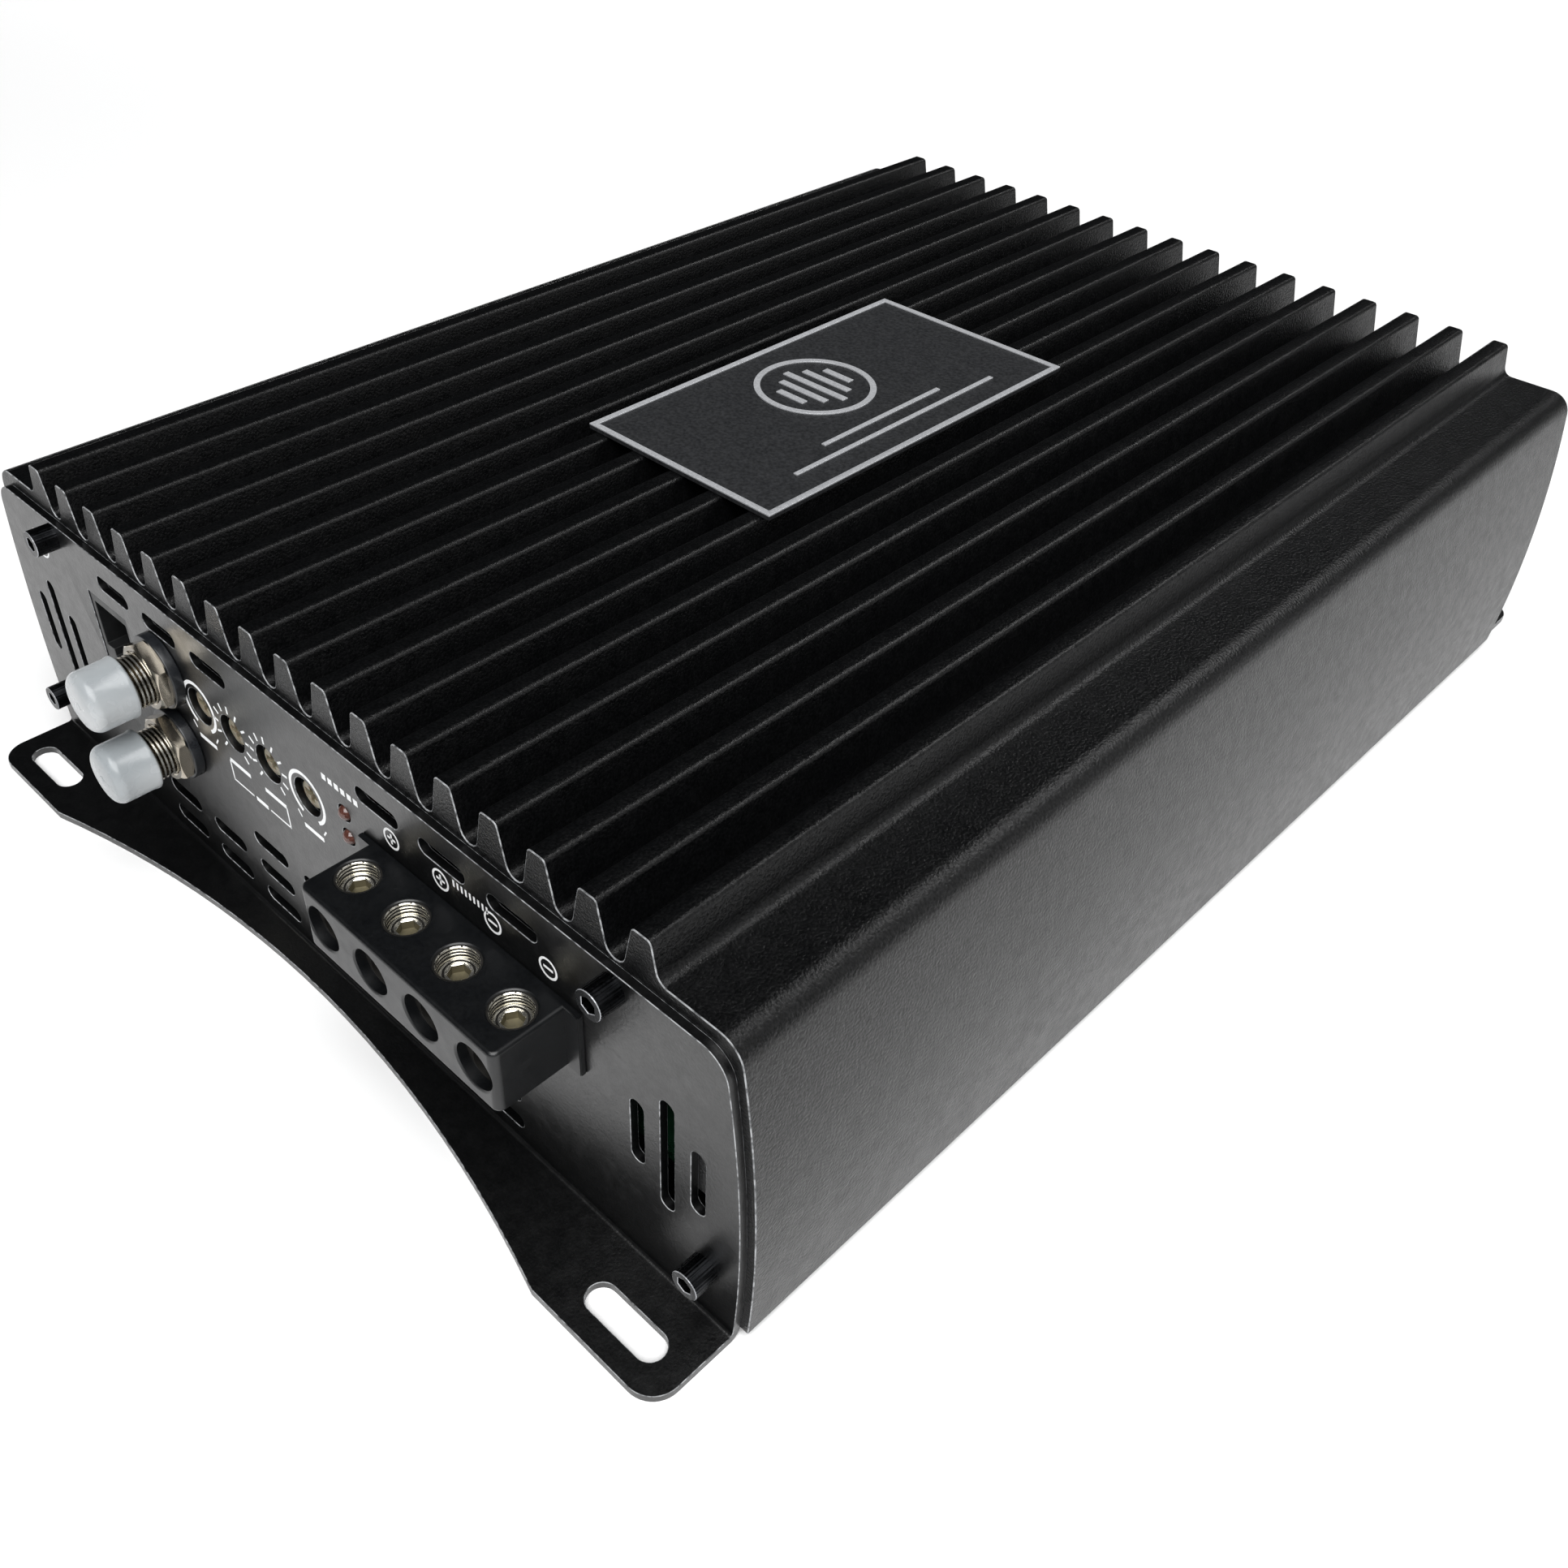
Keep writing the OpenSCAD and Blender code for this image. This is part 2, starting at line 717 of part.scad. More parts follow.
// adjuster with a crossed screwdriver slot, just behind the panel's face
module knob(x) {
    face_y = panel_y + knob_drop;
    color([0.85, 0.83, 0.76]) difference() {
        rod_y(x, knob_z, face_y, control_y - pot_floor - knob_end_gap, knob_r);
        translate([x, face_y - eps, knob_z]) rotate([-90, 0, 0])
            cross_slot(knob_slot_l, knob_slot_w, knob_slot_depth);
    }
}

module status_leds() {
    face_y = panel_y + led_drop;
    color([0.80, 0.35, 0.25]) for (z = led_z) {
        rod_y(led_x, z, face_y, control_y, led_r);
        translate([led_x, face_y, z]) intersection() {
            sphere(led_r);
            translate([-led_r, -led_r, -led_r]) cube([2 * led_r, led_r + eps, 2 * led_r]);
        }
    }
}

// ---------- remote port ----------

module port_slab(y, t, size, up) {
    slab_y(y, t) translate([port_x, port_z + up]) square(size, center = true);
}

module remote_port() {
    floor_y = control_y - port_floor;
    color([0.03, 0.03, 0.03]) difference() {
        port_slab(control_y, port_depth, [port_w - 2 * port_fit, port_h - 2 * port_fit], 0);
        port_slab(floor_y, port_depth, port_socket, port_socket_up);
        port_slab(floor_y, port_depth, port_latch, -port_latch_down);
    }
}

module remote_port_contacts() {
    floor_y = control_y - port_floor;
    color([0.85, 0.68, 0.30]) for (i = [-2.5:2.5]) translate([port_x + i * port_pin_pitch, 0, 0])
        box(-port_pin_w / 2, port_pin_w / 2, floor_y - port_pin_l, floor_y, port_pin_z[0], port_pin_z[1]);
}

// ---------- boards ----------

module control_board() {
    color([0.05, 0.25, 0.12]) slab_y(control_y + board_t, board_t) difference() {
        translate([control_x[0], board_top])
            square([control_x[1] - control_x[0], control_top_z - board_top]);
        for (x = control_pin_x) translate([x, control_pin_z]) circle(pin_hole_r);
    }
}

// square header pin, bent once: out through an upright board at z, then down to z_low
module bent_pin(x, z, y0, y1, z_low) {
    t = pin_w / 2;
    box(x - t, x + t, y0, y1 + t, z - t, z + t);
    box(x - t, x + t, y1 - t, y1 + t, z_low, z + t);
}

module control_board_pins() {
    color([0.85, 0.68, 0.30]) for (x = control_pin_x)
        bent_pin(x, control_pin_z, control_y, control_pin_y, board_z - 1);
}

module main_board() {
    color([0.05, 0.25, 0.12]) difference() {
        box(-board_half_w, board_half_w, front_y + board_front_gap, -front_y - board_rear_gap, board_z,
            board_top);
        for (p = standoff_xy) translate([p[0], p[1], board_z - 1])
            cylinder(h = board_t + 2, r = screw_r + screw_play);
        for (x = control_pin_x) translate([x, control_pin_y, board_z - 1])
            cylinder(h = board_t + 2, r = pin_hole_r);
    }
}

module board_standoffs() {
    height = board_z - cover_z - cover_t;
    color([0.75, 0.65, 0.35]) for (p = standoff_xy) translate([p[0], p[1], cover_z + cover_t])
        difference() {
            cylinder(h = height, r = standoff_r, $fn = 6);
            translate([0, 0, height - pilot_depth]) cylinder(h = pilot_depth + eps, r = screw_r);
        }
}

module board_screws() {
    color([0.70, 0.70, 0.72]) for (p = standoff_xy) translate([p[0], p[1], board_top]) {
        translate([0, 0, -board_screw_l]) cylinder(h = board_screw_l, r = screw_r);
        difference() {
            cylinder(h = pan_head_h, r = pan_head_r);
            translate([0, 0, pan_head_h / 2]) cross_slot(3.4, 0.7, pan_head_h);
        }
    }
}

// ---------- power devices, clamped to the side walls ----------

function device_y(i) = device_y0 + i * device_pitch;
function gap_y(i) = device_y(i) - device_pitch / 2;

module power_device(y) {
    x0 = pad_x - strip_t - device_t;
    box(x0, x0 + device_t, y - device_w / 2, y + device_w / 2, device_z, device_z + device_h);
    for (k = [-1, 0, 1]) translate([0, y + k * leg_pitch, 0])
        box(x0 + leg_x[0], x0 + leg_x[1], -leg_w / 2, leg_w / 2, board_top, device_z + eps);
}

module output_transistors() {
    color([0.05, 0.05, 0.05]) for (i = [0:device_count - 1]) power_device(device_y(i));
}

module supply_transistors() {
    color([0.05, 0.05, 0.05]) mirror([1, 0, 0])
        for (i = [0:device_count - 1]) power_device(device_y(i));
}

// drilled bar past all the power devices on both side walls
module device_bar(x0, x1, z0, z1) {
    both_sides() difference() {
        box(x0, x1, gap_y(0) - bar_end, gap_y(device_count) + bar_end, z0, z1);
        for (i = [0:device_count]) rod_x(x0 - 1, x1 + 1, gap_y(i), clamp_z, screw_r);
    }
}

module insulating_strips() {
    color([0.70, 0.72, 0.75]) device_bar(pad_x - strip_t, pad_x, pad_z[0], pad_z[1]);
}

module transistor_clamps() {
    x1 = pad_x - strip_t - device_t;
    color([0.60, 0.60, 0.62]) device_bar(x1 - clamp_t, x1, clamp_z - clamp_h / 2, clamp_z + clamp_h / 2);
}

module clamp_screws() {
    head_x = pad_x - strip_t - device_t - clamp_t;
    color([0.70, 0.70, 0.72]) both_sides() for (i = [0:device_count]) difference() {
        union() {
            rod_x(head_x - clamp_head_h, head_x, gap_y(i), clamp_z, clamp_head_r);
            rod_x(head_x - eps, clamp_screw_x, gap_y(i), clamp_z, screw_r);
        }
        translate([head_x - clamp_head_h - eps, gap_y(i), clamp_z]) rotate([0, 90, 0])
            cylinder(h = clamp_socket_depth, r = clamp_socket_r, $fn = 6);
    }
}

// ---------- wound parts, capacitors and the driver board ----------

module ferrite_ring(at, size) {
    translate(at) rotate_extrude() translate([size[0], 0]) square([size[1] - size[0], size[2]]);
}

module winding(at, size, wire_t) {
    translate(at) rotate_extrude() difference() {
        translate([size[0] - wire_t, -wire_t])
            square([size[1] - size[0] + 2 * wire_t, size[2] + 2 * wire_t]);
        translate([size[0], 0]) square([size[1] - size[0], size[2]]);
    }
}

module transformer_core() {
    color([0.20, 0.20, 0.22]) ferrite_ring(transformer_at, transformer);
}

module transformer_winding() {
    color([0.72, 0.38, 0.16]) winding(transformer_at, transformer, transformer_wire);
}

module inductor_core() {
    color([0.20, 0.20, 0.22]) ferrite_ring(inductor_at, inductor);
}

module inductor_winding() {
    color([0.72, 0.38, 0.16]) winding(inductor_at, inductor, inductor_wire);
}

module storage_capacitors() {
    color([0.10, 0.12, 0.30]) {
        for (x = large_cap_x, y = large_cap_y) translate([x, y, board_top])
            cylinder(h = large_cap[1], r = large_cap[0]);
        for (x = input_cap_x) translate([x, input_cap_y, board_top])
            cylinder(h = input_cap[1], r = input_cap[0]);
    }
}

module driver_board() {
    color([0.05, 0.25, 0.12]) slab_y(driver_y, board_t) difference() {
        translate([driver_x[0], board_top]) square([driver_x[1] - driver_x[0], driver_top_z - board_top]);
        for (x = driver_pin_x) translate([x, driver_pin_z]) circle(pin_hole_r);
    }
}

module driver_board_pins() {
    color([0.85, 0.68, 0.30]) for (x = driver_pin_x)
        bent_pin(x, driver_pin_z, driver_y - board_t, driver_y + 2, board_top);
}

heatsink();
front_panel();
rear_panel();
bottom_cover();
front_panel_screws();
rear_panel_screws();
bottom_cover_screws();
nameplate();
nameplate_frame();
nameplate_emblem();
terminal_block();
terminal_barrels();
terminal_screw(term_xs[0]);  // terminal_screw_1
terminal_screw(term_xs[1]);  // terminal_screw_2
terminal_screw(term_xs[2]);  // terminal_screw_3
terminal_screw(term_xs[3]);  // terminal_screw_4
rca_housing();
rca_shells();
rca_insulators();
rca_centre_contacts();
rca_washers();
rca_nuts();
rca_cap(rca_z[0]);  // rca_cap_upper
rca_cap(rca_z[1]);  // rca_cap_lower
potentiometer_bodies();
knob(knob_x[0]);  // level_knob
knob(knob_x[1]);  // low_pass_knob
knob(knob_x[2]);  // subsonic_knob
knob(knob_x[3]);  // bass_boost_knob
status_leds();
remote_port();
remote_port_contacts();
control_board();
control_board_pins();
main_board();
board_standoffs();
board_screws();
output_transistors();
supply_transistors();
insulating_strips();
transistor_clamps();
clamp_screws();
transformer_core();
transformer_winding();
inductor_core();
inductor_winding();
storage_capacitors();
driver_board();
driver_board_pins();
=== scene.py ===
"""Looks of a mono-block car amplifier: a powder-coated finned heatsink between two folded
end panels, with its terminal block, phono jacks, level controls, nameplate and electronics.
All sizes are metres in the frame of the CAD model: the connector panel faces -Y."""

import json
import math

import bmesh
import bpy
from mathutils import Matrix, Vector

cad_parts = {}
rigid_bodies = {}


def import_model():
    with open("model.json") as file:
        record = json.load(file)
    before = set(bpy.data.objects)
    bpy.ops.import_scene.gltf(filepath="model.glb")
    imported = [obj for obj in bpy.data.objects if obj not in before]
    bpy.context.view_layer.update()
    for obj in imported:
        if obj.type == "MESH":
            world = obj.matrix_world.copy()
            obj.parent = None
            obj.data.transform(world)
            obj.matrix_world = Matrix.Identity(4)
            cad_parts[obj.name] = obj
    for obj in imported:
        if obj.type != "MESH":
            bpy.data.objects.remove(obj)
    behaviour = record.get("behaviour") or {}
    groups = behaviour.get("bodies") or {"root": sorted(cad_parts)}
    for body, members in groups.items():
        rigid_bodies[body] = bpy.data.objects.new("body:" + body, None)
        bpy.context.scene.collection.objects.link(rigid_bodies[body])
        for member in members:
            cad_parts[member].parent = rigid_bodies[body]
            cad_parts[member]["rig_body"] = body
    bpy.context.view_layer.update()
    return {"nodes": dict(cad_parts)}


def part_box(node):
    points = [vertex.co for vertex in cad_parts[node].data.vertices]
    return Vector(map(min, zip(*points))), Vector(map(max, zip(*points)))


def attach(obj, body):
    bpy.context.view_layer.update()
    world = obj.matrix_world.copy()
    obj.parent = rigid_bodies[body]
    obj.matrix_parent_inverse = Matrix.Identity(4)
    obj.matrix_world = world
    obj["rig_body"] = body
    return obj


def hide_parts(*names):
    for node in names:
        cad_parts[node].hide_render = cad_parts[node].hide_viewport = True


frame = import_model()
nodes = frame["nodes"]
MM = 0.001
scene = bpy.context.scene


# ---------- places taken from the frame ----------


def centre(node):
    """Middle of a CAD node's box."""
    low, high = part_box(node)
    return (low + high) / 2


def body_of(node):
    """Name of the body that a CAD node rides on."""
    return nodes[node]["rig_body"]


def islands(node):
    """Low and high corners of each separate solid in a CAD node."""
    same_spot = 0.002 * MM
    bm = bmesh.new()
    bm.from_mesh(nodes[node].data)
    bmesh.ops.remove_doubles(bm, verts=bm.verts, dist=same_spot)
    left = set(bm.verts)
    found = []
    while left:
        group = []
        queue = [left.pop()]
        while queue:
            vert = queue.pop()
            group.append(vert.co.copy())
            for edge in vert.link_edges:
                other = edge.other_vert(vert)
                if other in left:
                    left.discard(other)
                    queue.append(other)
        low = Vector(min(co[i] for co in group) for i in range(3))
        high = Vector(max(co[i] for co in group) for i in range(3))
        found.append((low, high))
    bm.free()
    return sorted(found, key=lambda box: tuple(round(c, 5) for c in box[0]))


panel_face_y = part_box("rca_washers")[1].y
OUT = Vector((0, -1, 0))  # the way the connector panel faces
UP = Vector((0, 0, 1))


# ---------- materials ----------

NOISE_RANGE = (0.3, 0.7)  # where most of a noise's values lie


def shader(name, **sockets):
    """A new material with its tree and its Principled shader; sockets are names without spaces."""
    material = bpy.data.materials.new(name)
    material.use_nodes = True
    tree = material.node_tree
    bsdf = tree.nodes["Principled BSDF"]
    for key, value in sockets.items():
        bsdf.inputs[key.replace("_", " ")].default_value = value
    return material, tree, bsdf


def rgb(r, g, b):
    """Opaque colour."""
    return (r, g, b, 1)


def grain(tree, scale, detail, stretch=(1, 1, 1)):
    """Noise fixed to the object, scale in cells per metre."""
    coords = tree.nodes.new("ShaderNodeTexCoord")
    mapping = tree.nodes.new("ShaderNodeMapping")
    mapping.inputs["Scale"].default_value = stretch
    noise = tree.nodes.new("ShaderNodeTexNoise")
    noise.inputs["Scale"].default_value = scale
    noise.inputs["Detail"].default_value = detail
    tree.links.new(coords.outputs["Object"], mapping.inputs["Vector"])
    tree.links.new(mapping.outputs["Vector"], noise.inputs["Vector"])
    return noise.outputs["Fac"]


def mapped(tree, factor, low, high):
    """A noise's usual range stretched to low..high."""
    node = tree.nodes.new("ShaderNodeMapRange")
    for key, value in zip(("From Min", "From Max", "To Min", "To Max"), (*NOISE_RANGE, low, high)):
        node.inputs[key].default_value = value
    tree.links.new(factor, node.inputs["Value"])
    return node.outputs["Result"]


def tinted(tree, factor, dark, light, span=NOISE_RANGE):
    """Colour that runs from dark to light as factor rises through the span."""
    ramp = tree.nodes.new("ShaderNodeValToRGB")
    ramp.color_ramp.elements[0].position = span[0]
    ramp.color_ramp.elements[0].color = dark
    ramp.color_ramp.elements[1].position = span[1]
    ramp.color_ramp.elements[1].color = light
    tree.links.new(factor, ramp.inputs["Fac"])
    return ramp.outputs["Color"]


def bumped(tree, bsdf, layers):
    """Bumps one on another: each layer is (height socket, strength, depth in metres)."""
    normal = None
    for height, strength, depth in layers:
        bump = tree.nodes.new("ShaderNodeBump")
        bump.inputs["Strength"].default_value = strength
        bump.inputs["Distance"].default_value = depth
        tree.links.new(height, bump.inputs["Height"])
        if normal:
            tree.links.new(normal, bump.inputs["Normal"])
        normal = bump.outputs["Normal"]
    tree.links.new(normal, bsdf.inputs["Normal"])


def coated(name, dark, light, rough, fine, fine_depth, wave, wave_depth, sheen=None, **sockets):
    """Painted or moulded surface: fine grain over a slow wave, with colour and gloss that vary.
    sheen is the range of the specular level from the grain's pits to its tops."""
    material, tree, bsdf = shader(name, **sockets)
    grain_fine = grain(tree, fine, 3)
    grain_wave = grain(tree, wave, 2)
    tree.links.new(tinted(tree, grain_fine, dark, light), bsdf.inputs["Base Color"])
    tree.links.new(mapped(tree, grain_wave, *rough), bsdf.inputs["Roughness"])
    if sheen:
        tree.links.new(mapped(tree, grain_fine, *sheen), bsdf.inputs["Specular IOR Level"])
    bumped(tree, bsdf, [(grain_wave, 0.5, wave_depth), (grain_fine, 0.6, fine_depth)])
    return material


def metal(name, dark, light, rough, scale, bare=1.0):
    """Bare or plated metal with fine marks in its gloss and slow blotches in its colour."""
    mark_depth = 0.000002
    material, tree, bsdf = shader(name, Metallic=bare)
    marks = grain(tree, scale, 4)
    blotches = grain(tree, scale / 8, 2)
    tree.links.new(tinted(tree, blotches, dark, light), bsdf.inputs["Base Color"])
    tree.links.new(mapped(tree, marks, *rough), bsdf.inputs["Roughness"])
    bumped(tree, bsdf, [(marks, 0.4, mark_depth)])
    return material


def coat_edge_with_wear_highlight(name, body, bare):
    """Thin coat on a sheet's or casting's edges, rubbed towards the lighter undercoat and lightened further
    as a painted highlight.
    """
    material, tree, bsdf = shader(name)
    rub_glint = grain(tree, 900, 3)
    tree.links.new(tinted(tree, rub_glint, body, bare, (0.36, 0.60)), bsdf.inputs["Base Color"])
    tree.links.new(mapped(tree, rub_glint, 0.42, 0.30), bsdf.inputs["Roughness"])
    bumped(tree, bsdf, [(rub_glint, 0.3, 0.00001)])
    return material


powder_black = coated(
    "powder_coat_black", rgb(0.0004, 0.0005, 0.0006), rgb(0.0018, 0.0019, 0.0022), rough=(0.30, 0.38),
    fine=2200, fine_depth=0.0002, wave=420, wave_depth=0.000004, sheen=(0.26, 0.46),
)
panel_paint = coated(
    "panel_paint_black", rgb(0.0006, 0.0007, 0.0008), rgb(0.0015, 0.0016, 0.0018), rough=(0.28, 0.35),
    fine=1900, fine_depth=0.00006, wave=500, wave_depth=0.000003, sheen=(0.70, 0.86),
)
# the edge colour is partly rubbed-through coat and partly a painted highlight along the edges
edge_wear_highlight = coat_edge_with_wear_highlight("coat_edge_wear_painted_highlight", rgb(0.05, 0.052, 0.055), rgb(0.34, 0.35, 0.36))
block_plastic = coated(
    "terminal_plastic", rgb(0.0016, 0.0019, 0.0024), rgb(0.0040, 0.0046, 0.0054), rough=(0.32, 0.40),
    fine=1900, fine_depth=0.000018, wave=300, wave_depth=0.000008, Specular_IOR_Level=0.50,
)
black_plastic = coated(
    "moulded_black_plastic", rgb(0.004, 0.0043, 0.0046), rgb(0.008, 0.0084, 0.0088), rough=(0.38, 0.50),
    fine=1900, fine_depth=0.000012, wave=260, wave_depth=0.000008,
)
rubber_black = coated(
    "washer_fibre", rgb(0.006, 0.0065, 0.008), rgb(0.016, 0.018, 0.021), rough=(0.26, 0.38),
    fine=2500, fine_depth=0.000008, wave=350, wave_depth=0.000008,
)
badge_face = coated(
    "badge_face_black", rgb(0.009, 0.0095, 0.0105), rgb(0.026, 0.027, 0.029), rough=(0.46, 0.56),
    fine=1500, fine_depth=0.00002, wave=260, wave_depth=0.000006, Specular_IOR_Level=0.4,
)
device_epoxy = coated(
    "device_epoxy", rgb(0.008, 0.008, 0.009), rgb(0.016, 0.016, 0.017), rough=(0.45, 0.6),
    fine=1800, fine_depth=0.00001, wave=300, wave_depth=0.000006,
)
strip_pad = coated(
    "insulating_pad_grey", rgb(0.30, 0.32, 0.35), rgb(0.40, 0.42, 0.45), rough=(0.6, 0.75),
    fine=1400, fine_depth=0.00001, wave=220, wave_depth=0.000006,
)
insulator_white = coated(
    "insulator_white", rgb(0.74, 0.73, 0.70), rgb(0.84, 0.83, 0.80), rough=(0.34, 0.46),
    fine=1500, fine_depth=0.00001, wave=300, wave_depth=0.000006,
)
board_green = coated(
    "solder_mask_green", rgb(0.004, 0.024, 0.011), rgb(0.009, 0.042, 0.020), rough=(0.24, 0.36),
    fine=900, fine_depth=0.00001, wave=150, wave_depth=0.00001, Coat_Weight=0.3,
)
pot_blue = coated(
    "potentiometer_blue", rgb(0.012, 0.034, 0.055), rgb(0.020, 0.050, 0.080), rough=(0.35, 0.48),
    fine=1500, fine_depth=0.000012, wave=260, wave_depth=0.000008,
)
knob_cream = coated(
    "adjuster_acetal", rgb(0.155, 0.134, 0.088), rgb(0.26, 0.23, 0.165), rough=(0.26, 0.38),
    fine=1700, fine_depth=0.000012, wave=280, wave_depth=0.000008,
    Subsurface_Weight=0.15, Subsurface_Scale=0.001,
)
ferrite_grey = coated(
    "ferrite_grey", rgb(0.035, 0.035, 0.038), rgb(0.075, 0.075, 0.080), rough=(0.5, 0.65),
    fine=1600, fine_depth=0.00002, wave=260, wave_depth=0.00001,
)
sleeve_blue = coated(
    "capacitor_sleeve_blue", rgb(0.012, 0.020, 0.075), rgb(0.018, 0.030, 0.105), rough=(0.22, 0.32),
    fine=1200, fine_depth=0.000006, wave=200, wave_depth=0.000006, Coat_Weight=0.5,
)
print_white = coated(
    "printed_white", rgb(0.84, 0.85, 0.86), rgb(0.94, 0.95, 0.95), rough=(0.45, 0.6),
    fine=2500, fine_depth=0.000006, wave=400, wave_depth=0.000004,
)
badge_silver = coated(
    "badge_silver", rgb(0.42, 0.43, 0.45), rgb(0.60, 0.61, 0.63), rough=(0.30, 0.42),
    fine=2600, fine_depth=0.000010, wave=500, wave_depth=0.000004, Metallic=0.35,
)
oxide_black = metal(
    "black_oxide_steel", rgb(0.010, 0.011, 0.012), rgb(0.030, 0.031, 0.034), rough=(0.24, 0.38),
    scale=2200,
)
# light metal for the cap screws' chamfers: a painted highlight round their rims
oxide_rim_painted_highlight = metal(
    "oxide_steel_rim_painted_highlight", rgb(0.24, 0.25, 0.27), rgb(0.52, 0.53, 0.55), rough=(0.28, 0.42),
    scale=2200, bare=0.5,
)
nickel = metal(
    "nickel_plate", rgb(0.72, 0.70, 0.63), rgb(0.82, 0.80, 0.74), rough=(0.18, 0.26),
    scale=1500, bare=0.95,
)
nickel_warm = metal(
    "nickel_plate_warm", rgb(0.42, 0.38, 0.31), rgb(0.52, 0.47, 0.39), rough=(0.12, 0.18),
    scale=1500, bare=0.97,
)
socket_floor = metal(
    "screw_socket_floor", rgb(0.13, 0.115, 0.075), rgb(0.22, 0.20, 0.135), rough=(0.35, 0.5),
    scale=1500, bare=0.7,
)
# darker nickel as painted shade: thread flanks of the jacks, the nuts' front faces and bores
nickel_shade = metal(
    "nickel_painted_shade", rgb(0.17, 0.155, 0.125), rgb(0.27, 0.24, 0.195), rough=(0.2, 0.3),
    scale=1500,
)
# near-black metal as painted shade: barrel faces inside the block and the set screws' face grooves
painted_shade_metal = metal(
    "barrel_in_shade", rgb(0.020, 0.019, 0.017), rgb(0.035, 0.033, 0.030), rough=(0.40, 0.55),
    scale=1500, bare=0.6,
)
gold = metal("gold_flash", rgb(0.72, 0.50, 0.18), rgb(0.86, 0.63, 0.27), rough=(0.18, 0.30), scale=1800)
brass = metal("brass_turned", rgb(0.58, 0.44, 0.19), rgb(0.72, 0.57, 0.27), rough=(0.2, 0.34), scale=1700)
zinc = metal("zinc_steel", rgb(0.50, 0.51, 0.53), rgb(0.64, 0.65, 0.67), rough=(0.26, 0.42), scale=1500)
can_aluminium = metal(
    "capacitor_can", rgb(0.66, 0.67, 0.68), rgb(0.78, 0.79, 0.80), rough=(0.24, 0.36),
    scale=1500,
)


def enamelled_copper():
    """Wire lacquer over copper: turns are in the mesh, this adds their colour and gloss."""
    material, tree, bsdf = shader("enamelled_copper", Metallic=0.85, Coat_Weight=0.5)
    runs = grain(tree, 700, 3)
    tree.links.new(
        tinted(tree, runs, rgb(0.36, 0.13, 0.04), rgb(0.56, 0.24, 0.09)), bsdf.inputs["Base Color"]
    )
    tree.links.new(mapped(tree, runs, 0.22, 0.36), bsdf.inputs["Roughness"])
    bumped(tree, bsdf, [(runs, 0.3, 0.00002)])
    return material


def frosted_cap():
    """Soft translucent plastic of the dust caps, milky with faint flow marks along it."""
    material, tree, bsdf = shader(
        "frosted_cap_plastic", Transmission_Weight=0.10, Subsurface_Weight=0.4,
        Subsurface_Scale=0.0015, Subsurface_Radius=(1.0, 1.0, 1.0), IOR=1.49,
    )
    flow = grain(tree, 100, 0, (1, 0.4, 1))
    frost = grain(tree, 400, 1)
    tree.links.new(
        tinted(tree, flow, rgb(0.33, 0.355, 0.37), rgb(0.53, 0.55, 0.56)), bsdf.inputs["Base Color"]
    )
    tree.links.new(mapped(tree, frost, 0.20, 0.30), bsdf.inputs["Roughness"])
    bumped(tree, bsdf, [(flow, 0.3, 0.0002)])
    return material


def tinted_lens():
    """Clear resin of a status light, tinted red."""
    material, tree, bsdf = shader(
        "tinted_lens", Transmission_Weight=0.55, IOR=1.53, Coat_Weight=0.3,
    )
    swirl = grain(tree, 1800, 2)
    tree.links.new(
        tinted(tree, swirl, rgb(0.13, 0.045, 0.034), rgb(0.24, 0.10, 0.075)), bsdf.inputs["Base Color"]
    )
    tree.links.new(mapped(tree, swirl, 0.08, 0.20), bsdf.inputs["Roughness"])
    bumped(tree, bsdf, [(swirl, 0.2, 0.00001)])
    return material


cap_white = frosted_cap()
led_lens = tinted_lens()
copper = enamelled_copper()

# the record's material slots and the finish that stands for each
finishes = {
    "heatsink_black": powder_black,
    "panel_black": panel_paint,
    "screw_black": oxide_black,
    "badge_black": badge_face,
    "badge_silver": badge_silver,
    "black_plastic": black_plastic,
    "nickel": nickel,
    "nickel_warm": nickel_warm,
    "white_cap": cap_white,
    "insulator_white": insulator_white,
    "pot_blue": pot_blue,
    "knob_cream": knob_cream,
    "led_lens": led_lens,
    "gold": gold,
    "board_green": board_green,
    "brass": brass,
    "zinc": zinc,
    "device_black": device_epoxy,
    "strip_grey": strip_pad,
    "ferrite": ferrite_grey,
    "copper": copper,
    "capacitor_blue": sleeve_blue,
}


# ---------- pieces and meshes ----------


def piece(name, mesh, material, body, slot, *replaced):
    """Links a mesh as a piece that rides on a body and stands for CAD nodes."""
    obj = bpy.data.objects.new(name, mesh)
    scene.collection.objects.link(obj)
    for m in material if isinstance(material, (list, tuple)) else [material]:
        obj.data.materials.append(m)
    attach(obj, body)
    if replaced:
        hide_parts(*replaced)
    return obj


def mesh_from(bm, name, smooth_angle=35):
    """Finishes a bmesh: outward normals, smooth where faces meet below the angle."""
    bmesh.ops.recalc_face_normals(bm, faces=bm.faces)
    limit = math.radians(smooth_angle)
    for face in bm.faces:
        face.smooth = True
    for edge in bm.edges:
        edge.smooth = len(edge.link_faces) == 2 and edge.calc_face_angle(0) < limit
    mesh = bpy.data.meshes.new(name)
    bm.to_mesh(mesh)
    bm.free()
    return mesh


def rounded(obj, width, segments, angle=35, edge_material=-1):
    """Rounds the sharp edges of a piece, keeps its flats flat and can paint the rounding."""
    bevel = obj.modifiers.new("edge_round", "BEVEL")
    bevel.width = width
    bevel.segments = segments
    bevel.limit_method = "ANGLE"
    bevel.angle_limit = math.radians(angle)
    bevel.use_clamp_overlap = False
    bevel.miter_outer = "MITER_ARC"
    bevel.harden_normals = True
    bevel.material = edge_material


